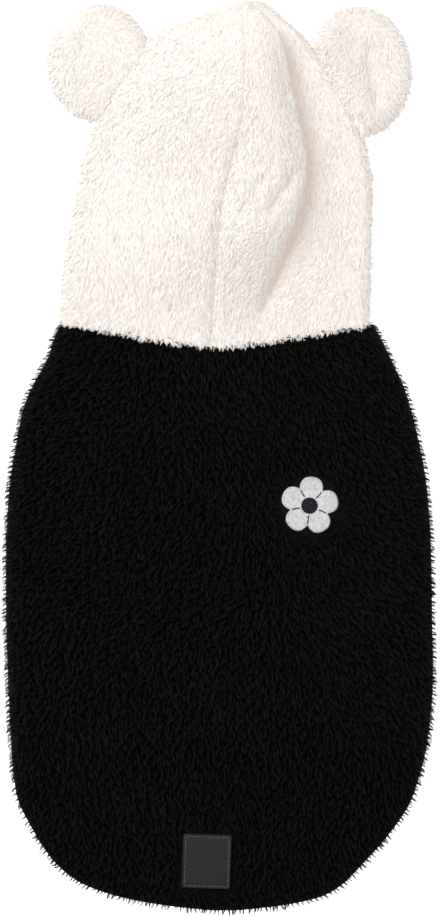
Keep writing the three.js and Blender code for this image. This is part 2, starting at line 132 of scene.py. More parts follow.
def smooth(value: Array | float) -> Array:
    """A soft step from 0 to 1."""
    kept = clamp01(value)
    return kept * kept * (3 - 2 * kept)


def round_edge(share: Array | float) -> Array:
    """The height of a round edge, as a share, at a share of its width in from it."""
    return np.sqrt(1 - (1 - clamp01(share)) ** 2)


def catmull(values: Array, place: Array | float) -> Array:
    """Reads rows of values between rows.

    Args:
        values: one row of numbers for each point of the curve.
        place: fractional row numbers.

    Returns:
        The rows at those places, on one smooth curve through all of them.
    """
    place = np.asarray(place, float)
    last = len(values) - 1
    i = np.clip(np.floor(place).astype(int), 0, last - 1)
    f = (place - i)[..., None]
    a, b, c, d = (values[np.clip(i + k, 0, last)] for k in (-1, 0, 1, 2))
    return b + 0.5 * f * (c - a + f * (2 * a - 5 * b + 4 * c - d + f * (3 * (b - c) + d - a)))


@dataclass(frozen=True)
class Table:
    """Rows of sizes with named columns, the first of which is y."""

    columns: str
    rows: tuple[tuple[float, ...], ...]

    def at(self, place: Array | float) -> dict[str, Array]:
        """The columns at fractional row numbers."""
        made = catmull(np.asarray(self.rows, float), place)
        return {name: made[..., k] for k, name in enumerate(self.columns.split())}

    def at_y(self, y: Array | float) -> dict[str, Array]:
        """The columns at a given y."""
        heights = np.asarray(self.rows, float)[:, 0]
        step = -1 if heights[0] > heights[-1] else 1
        numbers = np.arange(len(heights), dtype=float)
        return self.at(np.interp(y, heights[::step], numbers[::step]))


@dataclass(frozen=True)
class Crease:
    """A soft trough in cloth between two points. A negative depth is a ridge."""

    x0: float
    y0: float
    x1: float
    y1: float
    width: float
    depth: float

    def depth_at(self, x: Array, y: Array) -> Array:
        """How deep the trough is at points."""
        dx, dy = self.x1 - self.x0, self.y1 - self.y0
        share = clamp01(((x - self.x0) * dx + (y - self.y0) * dy) / (dx * dx + dy * dy))
        away = np.hypot(x - self.x0 - share * dx, y - self.y0 - share * dy) / self.width
        return self.depth * np.exp(-2 * away * away)


def creased(creases: Sequence[Crease], x: Array, y: Array) -> Array:
    """How deep all the troughs together are at points."""
    return sum((crease.depth_at(x, y) for crease in creases), np.zeros_like(x))


def wander(x: Array, y: Array, reach: float, phase: float) -> Array:
    """A slow, uneven wave from about -1 to 1 over the cloth, with a length of about reach."""
    first = np.sin(x / reach * 4.1 + y / reach * 2.3 + phase)
    second = np.sin(x / reach * 2.7 - y / reach * 4.9 + 1.7 * phase + 2)
    return 0.55 * first + 0.45 * second


# Sizes of the garment, in millimetres

BODY_PILE = 8.0  # wall of the body fleece, backing and pile
HOOD_PILE = 6.5
HALF_HOOD = HOOD_PILE / 2
SEAM_GAP = 0.3
LAYER_GAP = 0.4
BACK_LEVEL = BODY_PILE + LAYER_GAP  # underside of the back panel on the belly

BODY_OUTLINE = Table(
    "y left right",
    (
        (96, -112, 108),
        (84, -117.5, 115),
        (69, -122.5, 122),
        (52, -132, 130),
        (35, -139, 135.5),
        (10, -144, 141.5),
        (-18, -148.5, 146.5),
        (-60, -151, 149.5),
        (-110, -151, 150.5),
        (-160, -149.5, 151),
        (-200, -147.5, 147),
        (-225, -145.5, 141),
        (-242, -142, 135),
        (-258, -134, 125),
        (-274, -124.5, 112),
        (-288, -113, 99),
        (-300, -96, 87),
        (-309, -70, 71),
        (-315, -38, 44),
        (-318.5, -6, 12),
    ),
)
NECK_Y, NECK_RISE, NECK_HALF_WIDTH, NECK_POWER = 78.0, 18.0, 112.0, 1.3
BELLY_HEM_Y, BELLY_HEM_DIP, BELLY_HEM_HALF_WIDTH, HEM_DRAPE = -186.0, 24.0, 130.0, 34.0
BELLY_INSET, BELLY_ROUND = 9.0, 10.0
SPINE_TOP, SPINE_FOOT, BELLY_SPINE_FOOT = 40.0, -235.0, -150.0

# left and right are the outline, edge is the height at the side folds, flap is how far the
# folded crown reaches, turn the angle through which the cloth turns under it, tuck the length
# that is turned under, crest how far the crown stands above the flap, and flank the slope
# between them in degrees.
HOOD_ROWS = Table(
    "y left right edge flap turn tuck crest flank",
    (
        (96, -113, 105, 15.6, 24, 6, 2, 0, 0),
        (112, -112.3, 106, 15.2, 30, 22, 3, 1, 4),
        (130, -110.8, 106.2, 14.8, 37, 62, 5, 2, 8),
        (150, -108.3, 106.6, 14.6, 45.5, 110, 7, 3, 12),
        (172, -104.3, 107.2, 14.8, 55, 150, 9, 4, 16),
        (196, -99.8, 107, 15.4, 60.5, 170, 11, 5.5, 20),
        (218, -94, 103, 16.4, 60.5, 175, 11, 7, 24),
        (240, -85.6, 96, 17.6, 55, 172, 10, 8, 24),
        (262, -72.8, 84, 18.2, 50.5, 164, 8, 7.5, 22),
        (282, -58, 70.8, 17.4, 46.5, 146, 6, 5.5, 18),
        (297, -47.5, 57.5, 16, 41, 110, 3.5, 3, 12),
        (307, -24, 46, 14.6, 34.5, 66, 1.5, 1.2, 6),
        (314, -5, 38, 13.8, 29, 32, 1, 0.3, 2),
        (318, 5.5, 32.5, 13.4, 26, 20, 1, 0, 0),
        (319.5, 7.5, 30.5, 13.3, 26, 18, 1, 0, 0),
    ),
)
SEAM_LINE = Table(
    "y x",
    ((60, -10), (96, -6), (135, -2), (184, 3), (219, 12), (246, 17), (280, 18.4), (330, 16.2)),
)

HOOD_CREASES = (
    Crease(-6, 92, -1, 160, 6, 1.6),
    Crease(-1, 160, 12, 216, 8, 3.2),
    Crease(52, 200, 36, 172, 6, 2.4),
    Crease(-70, 150, -40, 112, 12, 1.2),
    Crease(78, 205, 88, 150, 12, 1.6),
)
BODY_CREASES = (
    Crease(-2, 20, -8, -60, 16, 1.2),
    Crease(-110, -20, -60, -95, 15, 1.6),
    Crease(30, -70, 12, -150, 14, 1.4),
    Crease(118, 20, 96, -50, 13, 1.3),
    Crease(120, -150, 70, -205, 15, 1.5),
    Crease(-95, -165, -125, -235, 14, 1.3),
)
BACK_EDGE = 5.0  # height of the back's round edge where it starts
BACK_ROUND = 15.0
PRESSED = 3.0  # how far the flower and the label press the pile down
SEWN_LIFT = 0.3


def neck_y(x: Array | float) -> Array:
    """The neck seam's y."""
    return NECK_Y + NECK_RISE * np.abs(np.asarray(x) / NECK_HALF_WIDTH) ** NECK_POWER


def belly_hem_y(x: Array | float) -> Array:
    """The y of the belly panel's hem, which is shorter than the back."""
    return BELLY_HEM_Y - BELLY_HEM_DIP * (np.asarray(x) / BELLY_HEM_HALF_WIDTH) ** 2


def side_room(x: Array, y: Array) -> Array:
    """The distance in from the body's side outline."""
    row = BODY_OUTLINE.at_y(y)
    return np.minimum(x - row["left"], row["right"] - x)


def on_belly(x: Array, y: Array) -> Array:
    """1 where the back lies on the belly panel, and 0 where it lies on the surface."""
    return smooth((y - belly_hem_y(x) + HEM_DRAPE) / (HEM_DRAPE + 2))


def pile_top(x: Array, y: Array) -> Array:
    """The height of the back panel's pile, well in from its edges."""
    rise = BACK_LEVEL + BODY_PILE - BACK_EDGE
    raised = BACK_EDGE + rise * round_edge(side_room(x, y) / BACK_ROUND)
    return mix(BODY_PILE, raised, on_belly(x, y)) - creased(BODY_CREASES, x, y)


def sewn_level(x: Array, y: Array) -> Array:
    """The height of the underside of what is sewn on the back."""
    return pile_top(x, y) - PRESSED + SEWN_LIFT


# Meshes


@dataclass
class Shell:
    """Points and faces of a closed piece, with a share of pile for each point."""

    points: Array
    faces: list[Face]
    cover: Array


def table_shift() -> Vector:
    """The way from the pattern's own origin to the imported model's, from the flower's centre."""
    low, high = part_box("badge_centre")
    middle = (low + high) / 2
    return Vector((middle.x - Flower.x * MM, middle.y - Flower.y * MM, 0))


def placed(name: str, data: bpy.types.ID) -> Object:
    """A new object of the scene that shows a mesh, a camera or a light."""
    made = bpy.data.objects.new(name, data)
    bpy.context.scene.collection.objects.link(made)
    return made


def new_object(
    name: str,
    points: Array,
    faces: Sequence[Sequence[int]] = (),
    edges: Sequence[Sequence[int]] = (),
    **attributes: Array,
) -> Object:
    """Makes a mesh object from points in millimetres.

    Args:
        name: the piece's name.
        points: one row of x, y and z for each point.
        faces: the faces' point numbers, anticlockwise from outside.
        edges: loose edges' point numbers, for threads.
        attributes: a number or a vector for each point, by name.

    Returns:
        The object, in metres at the origin, with doubled points merged.
    """
    mesh = bpy.data.meshes.new(name)
    shift = np.array(table_shift())
    mesh.from_pydata((np.asarray(points) * MM + shift).tolist(), edges, faces)
    for key, values in attributes.items():
        kind, slot = ("FLOAT", "value") if values.ndim == 1 else ("FLOAT_VECTOR", "vector")
        layer = mesh.attributes.new(key, kind, "POINT")
        layer.data.foreach_set(slot, np.ascontiguousarray(values, np.float32).ravel())
    if len(faces):
        tidy = bmesh.new()
        tidy.from_mesh(mesh)
        bmesh.ops.remove_doubles(tidy, verts=tidy.verts, dist=DOUBLED)
        bmesh.ops.dissolve_degenerate(tidy, edges=tidy.edges, dist=DOUBLED / 2)
        tidy.to_mesh(mesh)
        tidy.free()
        mesh.shade_smooth()
    return placed(name, mesh)


def baked(source: Object, name: str) -> Object:
    """Turns what an object's modifiers make into a plain mesh object.

    Args:
        source: the object with live modifiers, which is removed.
        name: the new object's name.

    Returns:
        A new object at the origin with no modifier.
    """
    bpy.context.view_layer.update()
    graph = bpy.context.evaluated_depsgraph_get()
    mesh = bpy.data.meshes.new_from_object(
        source.evaluated_get(graph), preserve_all_data_layers=True, depsgraph=graph
    )
    mesh.name = name
    discard(source)
    return placed(name, mesh)


def discard(*objects: Object) -> None:
    """Removes objects and their meshes."""
    for used in objects:
        mesh = used.data
        bpy.data.objects.remove(used)
        if mesh.users == 0:
            bpy.data.meshes.remove(mesh)


def cut(piece: Object, *tools: Object) -> Object:
    """Takes closed tools out of a closed piece, and removes the tools.

    Args:
        piece: the piece that is cut, which is removed too.
        tools: the closed shapes that are taken out of it.

    Returns:
        The cut piece, under the same name.
    """
    name = piece.name
    piece.name = name + "_uncut"
    for tool in tools:
        taken = piece.modifiers.new("Cut", "BOOLEAN")
        taken.operation, taken.solver, taken.object = "DIFFERENCE", "EXACT", tool
    made = baked(piece, name)
    discard(*tools)
    return made


def ring_faces(outer: int, inner: int, count: int) -> list[Face]:
    """The faces between two closed rings, from the number of the first point of each."""
    after = [(i + 1) % count for i in range(count)]
    return [(outer + i, outer + j, inner + j, inner + i) for i, j in enumerate(after)]


def ring_shell(
    outline: Array,
    target: Array,
    start: Array | float,
    top: tuple[Sequence[float], Sequence[float]],
    bottom: tuple[Sequence[float], Sequence[float]],
    heights: Heights,
) -> Shell:
    """A closed panel made of rings that step in from its outline.

    Args:
        outline: x and y of the outline's points, anticlockwise.
        target: for each of them, the point where its rings end.
        start: how far in from the outline the panel's own edge lies.
        top: distances in from that edge, and then shares of the way left, for the top face.
        bottom: the same for the bottom face.
        heights: gives the lowest and highest z from x, y and the depth in from the outline.

    Returns:
        The shell, with pile on its edge and its top.
    """
    count = len(outline)
    along = np.roll(outline, -1, 0) - np.roll(outline, 1, 0)
    along /= np.linalg.norm(along, axis=1)[:, None]
    way_in = target - outline
    inward = way_in[:, 1] * along[:, 0] - way_in[:, 0] * along[:, 1]
    begin = np.broadcast_to(np.asarray(start, float), count) / inward
    points: list[Array] = []
    faces: list[Face] = []
    cover: list[Array] = []

    def ring(way: Array, side: float) -> int:
        """Adds a ring at shares of the way in, and gives the number of its first point."""
        spot = outline + way_in * way[:, None]
        low, high = heights(spot[:, 0], spot[:, 1], way * inward)
        points.append(np.column_stack([spot, mix(low, high, side)]))
        cover.append(np.full(count, float(side > 0)))
        return (len(points) - 1) * count

    edge = ring(begin, 0.5)
    for side, (insets, shares) in ((1.0, top), (0.0, bottom)):
        deepest = begin + (insets[-1] if insets else 0.0) / inward
        ways = [begin + inset / inward for inset in insets]
        ways += [mix(deepest, 1.0, share) for share in (*shares, 1.0)]
        outer = edge
        for way in ways:
            inner = ring(way, side)
            made = ring_faces(outer, inner, count)
            faces += made if side else [face[::-1] for face in made]
            outer = inner
    return Shell(np.concatenate(points), faces, np.concatenate(cover))


def ellipse(x: float, y: float, half_width: float, half_length: float, count: int) -> Array:
    """The points of an ellipse, anticlockwise."""
    angle = np.arange(count) / count * 2 * math.pi
    return np.column_stack([x + half_width * np.cos(angle), y + half_length * np.sin(angle)])


def prism(name: str, outline: Array, low: float, high: float) -> Object:
    """A closed upright block over an anticlockwise outline."""
    count = len(outline)
    points = np.vstack([np.column_stack([outline, np.full(count, z)]) for z in (low, high)])
    ends = [tuple(range(count))[::-1], tuple(range(count, 2 * count))]
    return new_object(name, points, [*ring_faces(0, count, count), *ends])


# Node trees


Socket = bpy.types.NodeSocket


def math_method(operation: str, flipped: bool = False) -> Callable[[Value, Value | float], Value]:
    """A method that adds a Math node for self and another value, in that order or flipped."""

    def method(self: Value, other: Value | float) -> Value:
        """Adds the Math node and gives its output."""
        values = (other, self) if flipped else (self, other)
        settings = {"operation": operation}
        return self.graph.value("ShaderNodeMath", dict(enumerate(values)), settings)

    return method


class Value:
    """A node's socket in an expression, in which each operator adds a Math node."""

    def __init__(self, graph: Graph, socket: Socket) -> None:
        """Wraps a socket of a graph."""
        self.graph = graph
        self.socket = socket

    __add__ = __radd__ = math_method("ADD")
    __sub__ = math_method("SUBTRACT")
    __rsub__ = math_method("SUBTRACT", flipped=True)
    __mul__ = __rmul__ = math_method("MULTIPLY")
    __pow__ = math_method("POWER")
    at_least = math_method("MAXIMUM")
    at_most = math_method("MINIMUM")
    below = math_method("LESS_THAN")  # 1 where self is less than other


class Graph:
    """A shader or geometry tree, built by node types, inputs and settings."""

    def __init__(self, tree: bpy.types.NodeTree) -> None:
        """Wraps a tree."""
        self.tree = tree

    @staticmethod
    def open_socket(sockets: Sequence[Socket], key: str | int) -> Socket:
        """The socket of that number, or the first one of that name that is in use."""
        if isinstance(key, int):
            return sockets[key]
        return next(s for s in sockets if s.name == key and s.enabled)

    def node(
        self,
        kind: str,
        inputs: dict[str | int, object] | None = None,
        settings: dict[str, object] | None = None,
    ) -> bpy.types.Node:
        """Adds a node.

        Args:
            kind: the node's type.
            inputs: constants or values for its inputs, by name or number.
            settings: its properties.

        Returns:
            The new node.
        """
        made = self.tree.nodes.new(kind)
        for key, value in (settings or {}).items():
            setattr(made, key, value)
        for key, value in (inputs or {}).items():
            socket = self.open_socket(made.inputs, key)
            if isinstance(value, Value):
                self.tree.links.new(value.socket, socket)
            else:
                socket.default_value = value
        return made

    def out(self, node: bpy.types.Node, key: str | int = 0) -> Value:
        """An output of a node as a value."""
        return Value(self, self.open_socket(node.outputs, key))

    def value(
        self,
        kind: str,
        inputs: dict[str | int, object] | None = None,
        settings: dict[str, object] | None = None,
        key: str | int = 0,
    ) -> Value:
        """Adds a node and gives one of its outputs."""
        return self.out(self.node(kind, inputs, settings), key)


Colour = tuple[float, float, float, float]
Glow = tuple[str, float]  # colour and strength of an emission; on the cream fleece a painted glow that stands in for light scattered through its fibres
NO_GLOW: Glow = ("#000000", 0.0)


def srgb(code: str) -> Colour:
    """A linear colour from a six-digit sRGB code."""
    parts = [int(code[i:i + 2], 16) / 255 for i in (1, 3, 5)]
    linear = [p / 12.92 if p <= 0.04045 else ((p + 0.055) / 1.055) ** 2.4 for p in parts]
    return (*linear, 1.0)


class Paint(Graph):
    """A material's tree, with the steps that the finishes share."""

    def __init__(self, name: str) -> None:
        """Makes an empty material."""
        self.material = bpy.data.materials.new(name)
        self.material.use_nodes = True
        super().__init__(self.material.node_tree)
        self.tree.nodes.clear()
        self.place = self.value("ShaderNodeTexCoord", key="Object")

    def noise(self, scale: float, detail: float = 3.0, stretch: Vector | None = None) -> Value:
        """Noise from 0 to 1 on Object coordinates, with a scale per metre."""
        place = self.place
        if stretch is not None:
            place = self.value("ShaderNodeMapping", {"Vector": place, "Scale": stretch})
        inputs = {"Vector": place, "Scale": scale, "Detail": detail}
        return self.value("ShaderNodeTexNoise", inputs)

    def attribute(self, name: str, key: str = "Fac") -> Value:
        """A number or a vector that the mesh carries."""
        return self.value("ShaderNodeAttribute", None, {"attribute_name": name}, key)

    def mixed(self, kind: str, share: Value | float, a: object, b: object) -> Value:
        """What lies at a share of the way from a to b, which are of one kind of data."""
        inputs = {"Factor": share, "A": a, "B": b}
        return self.value("ShaderNodeMix", inputs, {"data_type": kind}, "Result")

    def soft_normal(self, share: float) -> Value:
        """A normal between a fibre's own and that of the cloth under it."""
        own = self.value("ShaderNodeNewGeometry", key="Normal")
        between = self.mixed("VECTOR", share, own, self.attribute("ground", "Vector"))
        return self.value("ShaderNodeVectorMath", {0: between}, {"operation": "NORMALIZE"})

    def blend(self, share: Value | float, dark: str, light: str) -> Value:
        """A colour between two, which are given as sRGB codes."""
        return self.mixed("RGBA", share, srgb(dark), srgb(light))

    def shade(self, colour: Value, amount: Value) -> Value:
        """A colour made darker or lighter by an amount."""
        inputs = {"Vector": colour, "Scale": amount}
        return self.value("ShaderNodeVectorMath", inputs, {"operation": "SCALE"})

    def bump(self, height: Value, strength: float, distance: float) -> Value:
        """A normal from a height, where distance is in metres."""
        inputs = {"Height": height, "Strength": strength, "Distance": distance}
        return self.value("ShaderNodeBump", inputs)

    def principled(self, inputs: dict[str, object], glow: Glow = NO_GLOW) -> Material:
        """Ends the tree in a Principled shader and gives the material."""
        colour, strength = glow
        light = {"Emission Color": srgb(colour), "Emission Strength": strength}
        surface = self.value("ShaderNodeBsdfPrincipled", {**inputs, **light})
        self.node("ShaderNodeOutputMaterial", {"Surface": surface})
        return self.material


@dataclass(frozen=True)
class PileFinish:
    """The fibres of a fleece, from root to tip, each tuft in its own tone, with painted shade at
    the roots and a painted highlight at the tips.
    """

    name: str
    # the root's colour is painted shade deep in the pile, the tip's a painted highlight
    root: str
    tip: str
    fade: float  # how late along a fibre the tip's painted highlight comes
    spread: float  # how much the tone differs from tuft to tuft
    roughness: float
    sheen: float
    specular: float
    soft: float  # how far a fibre is lit as the cloth under it is
    # emission colour and strength: a painted glow on the cream pile, none on the black
    glow: Glow

    def material(self) -> Material:
        """Makes the material, which reads tone and along from the fibres."""
        paint = Paint(self.name)
        along = paint.attribute("along")
        tone = paint.attribute("tone")
        drift = paint.noise(22.0, 2.0)
        amount = tone * self.spread + drift * (0.6 * self.spread) + (1 - 0.8 * self.spread)
        # painted shade at the roots, painted highlight towards the tips
        base = paint.blend(along ** self.fade, self.root, self.tip)
        return paint.principled(
            {
                "Base Color": paint.shade(base, amount),
                "Roughness": tone * 0.15 + (self.roughness - 0.07),
                "Specular IOR Level": self.specular,
                "Sheen Weight": self.sheen,
                "Sheen Roughness": 0.5,
                "Normal": paint.soft_normal(self.soft),
            },
            self.glow,
        )


@dataclass(frozen=True)
class BackingFinish:
    """The knitted ground of a fleece, with pile pressed into it where no tufts stand."""

    name: str
    dark: str
    light: str
    # emission colour and strength: a painted glow on the cream backing, none on the black
    glow: Glow

    def material(self) -> Material:
        """Makes the material."""
        paint = Paint(self.name)
        lay = paint.noise(260.0, 4.0, Vector((1.6, 0.7, 1.0)))
        fine = paint.noise(1400.0, 2.0)
        height = lay * 0.8 + fine * 0.2
        return paint.principled(
            {
                "Base Color": paint.blend(height, self.dark, self.light),
                "Roughness": 0.96 - lay * 0.1,
                "Specular IOR Level": 0.2,
                "Normal": paint.bump(height, 0.8, 0.0016),
            },
            self.glow,
        )


@dataclass(frozen=True)
class ThreadFinish:
    """Embroidery or sewing thread with a soft lustre and a twist."""

    name: str
    dark: str
    light: str
    roughness: float

    def material(self) -> Material:
        """Makes the material."""
        paint = Paint(self.name)
        patch = paint.noise(700.0, 3.0) * 2.0 - 0.5
        twist = paint.noise(3600.0, 2.0)
        return paint.principled(
            {
                "Base Color": paint.blend(patch * 0.6 + twist * 0.4, self.dark, self.light),
                "Roughness": patch * 0.2 + (self.roughness - 0.1),
                "Normal": paint.bump(twist, 0.5, 0.00012),
                "Specular IOR Level": 0.25,
                "Sheen Weight": 0.05,
            }
        )


@dataclass(frozen=True)
class LeatherFinish:
    """Soft matt leather with a fine pebbled grain, rubbed lighter at its high spots."""

    name: str
    dark: str
    light: str

    def material(self) -> Material:
        """Makes the material."""
        paint = Paint(self.name)
        inputs = {"Vector": paint.place, "Scale": 1500.0}
        cells = paint.value("ShaderNodeTexVoronoi", inputs, {"feature": "DISTANCE_TO_EDGE"})
        pebble = (cells * 3.0).at_most(1.0)
        rub = paint.noise(75.0, 4.0) * 2.4 - 0.7
        grain = paint.noise(900.0, 3.0)
        height = pebble * 0.6 + grain * 0.4
        share = rub * 0.6 + pebble * 0.4
        return paint.principled(
            {
                "Base Color": paint.blend(share, self.dark, self.light),
                "Roughness": rub * 0.15 + 0.47,
                "Specular IOR Level": 0.35,
                "Normal": paint.bump(height, 0.55, 0.00022),
            }
        )


Finish = PileFinish | BackingFinish | ThreadFinish | LeatherFinish
# painted glow on the cream pile and backing: an emission that stands in for light scattered
# through the fibres and lifts their shade
CREAM_PAINTED_GLOW = ("#fff4ec", 0.23)
# near-black roots as painted shade and dark grey tips as a painted highlight on the black fleece
BLACK_PILE = PileFinish(
    "BlackPile", "#010101", "#22201e", 2.4, 0.9, 0.66, 0.0, 0.07, 0.05, NO_GLOW
)
BLACK_BACKING = BackingFinish("BlackBacking", "#020202", "#060606", NO_GLOW)
# warmer roots as painted warm shade deep in the cream pile, with the painted glow
CREAM_PILE = PileFinish(
    "CreamPile", "#eae0d9", "#eeece9", 0.8, 0.04, 0.85, 0.05, 0.05, 0.95, CREAM_PAINTED_GLOW
)
# the cream backing is darker and warmer than the pile: painted warm shade, seen where the pile is
# short or missing, as in the groove under the flap and along the seam
CREAM_BACKING_PAINTED_SHADE = BackingFinish("CreamBacking", "#e2cdbf", "#efe4dc", CREAM_PAINTED_GLOW)
WHITE_THREAD = ThreadFinish("WhiteThread", "#a9a9ab", "#fbfafb", 0.55)
NAVY_THREAD = ThreadFinish("NavyThread", "#06070d", "#141a2c", 0.55)
GREY_THREAD = ThreadFinish("GreyThread", "#4a4745", "#6e6b68", 0.6)
DARK_LEATHER = LeatherFinish("DarkLeather", "#0b0808", "#231d1c")


# Pile


@dataclass(frozen=True)
class TuftShape:
    """A lock of fibres that leans one way: its blades start apart and meet near its tip."""

    name: str
    blades: int
    steps: int
    reach: float
    height: float
    half_root: float
    width: float
    variants: int
    seed: int

    SIZES = (0.75, 1.15)  # how much one blade is shorter or longer than the next
    WIDTHS = (0.8, 1.2)
    ROLL = 0.8  # how far its flat side may turn, in radians
    ARCH = math.radians(118)  # how much of a half circle its rise follows

    def blade(self, draw: np.random.Generator) -> tuple[Array, Array, Array]:
        """One blade, leaning towards +X.

        Args:
            draw: the source of its random sizes.

        Returns:
            Its points, how far along it each point lies, and on which side of it.
        """
        share = np.linspace(0, 1, self.steps + 1)
        reach = self.reach * draw.uniform(*self.SIZES)
        height = self.height * draw.uniform(*self.SIZES)
        root = draw.uniform(-1, 1, 2) * self.half_root
        tip = root[1] * 0.25 + draw.normal(0, 0.18) * self.half_root
        bend = draw.normal(0, 0.5)
        x = root[0] + reach * share ** 1.35
        y = mix(root[1], tip, share ** 0.8) + bend * np.sin(share * math.pi)
        z = height * np.sin(share * self.ARCH)
        middle = np.column_stack([x, y, z])
        roll = draw.uniform(-self.ROLL, self.ROLL)
        half = self.width / 2 * (1 - share) ** 0.6 * draw.uniform(*self.WIDTHS)
        across = np.array([0, math.cos(roll), math.sin(roll)])
        left = middle - across * half[:, None]
        right = middle + across * half[:, None]
        points = np.vstack([left[:-1], right[:-1], middle[-1:]])
        along = np.concatenate([share[:-1], share[:-1], [1.0]])
        side = np.concatenate([np.zeros(self.steps), np.ones(self.steps), [0.5]])
        return points, along, side

    def collection(self) -> bpy.types.Collection:
        """A collection that holds every variant of the tuft."""
        draw = np.random.default_rng(self.seed)
        group = bpy.data.collections.new(self.name)
        n = self.steps
        pattern = [(i, n + i, n + i + 1, i + 1) for i in range(n - 1)]
        pattern.append((n - 1, 2 * n - 1, 2 * n))
        for number in range(self.variants):
            made = [self.blade(draw) for _ in range(self.blades)]
            points, along, side = (np.concatenate(part) for part in zip(*made))
            starts = range(0, len(points), 2 * n + 1)
            faces = [tuple(start + i for i in face) for start in starts for face in pattern]
            mesh = bpy.data.meshes.new(f"{self.name}_{number}")
            mesh.from_pydata((points * MM).tolist(), [], faces)
            for key, values in (("along", along), ("side", side)):
                layer = mesh.attributes.new(key, "FLOAT", "POINT")
                layer.data.foreach_set("value", values.astype(np.float32))
            mesh.shade_smooth()
            group.objects.link(bpy.data.objects.new(mesh.name, mesh))
        return group


BLACK_TUFT = TuftShape("BlackTuft", 7, 3, 6.4, 4.3, 1.0, 0.7, 6, 11)
CREAM_TUFT = TuftShape("CreamTuft", 5, 2, 4.2, 0.6, 1.1, 1.15, 6, 12)


class ModifierTree:
    """A geometry tree with named inputs that makes a piece's mesh and sets its finish."""

    NAME = ""
    SOCKETS: dict[str, str] = {}  # its inputs beside the geometry and the finish, with their kinds

    def __init__(self) -> None:
        """Makes the tree once for all the pieces that use it."""
        self.tree = bpy.data.node_groups.new(self.NAME, "GeometryNodeTree")
        self.tree.is_modifier = True
        face = self.tree.interface
        for way in ("INPUT", "OUTPUT"):
            face.new_socket("Geometry", in_out=way, socket_type="NodeSocketGeometry")
        self.inputs = {
            name: face.new_socket(name, in_out="INPUT", socket_type=f"NodeSocket{kind}").identifier
            for name, kind in (*self.SOCKETS.items(), ("Finish", "Material"))
        }
        self.graph = Graph(self.tree)
        self.given = self.graph.node("NodeGroupInput")
        inputs = {"Geometry": self.build(self.graph), "Material": self.asked("Finish")}
        finished = self.graph.value("GeometryNodeSetMaterial", inputs)
        self.graph.node("NodeGroupOutput", {"Geometry": finished})

    def asked(self, name: str) -> Value:
        """The value of one of the tree's inputs."""
        return self.graph.out(self.given, name)

    def build(self, graph: Graph) -> Value:
        """Adds the nodes that make the geometry, and gives it without its finish."""
        raise NotImplementedError

    def run(self, source: Object, name: str, values: dict[str, object]) -> Object:
        """Runs the tree on an object, which is removed, and gives what it makes as a plain mesh.

        Args:
            source: the object that carries the tree's own geometry.
            name: the new piece's name.
            values: what each named input is set to.

        Returns:
            The new piece.
        """
        modifier = source.modifiers.new(self.NAME, "NODES")
        modifier.node_group = self.tree
        for key, value in values.items():
            modifier[self.inputs[key]] = value
        return baked(source, name)


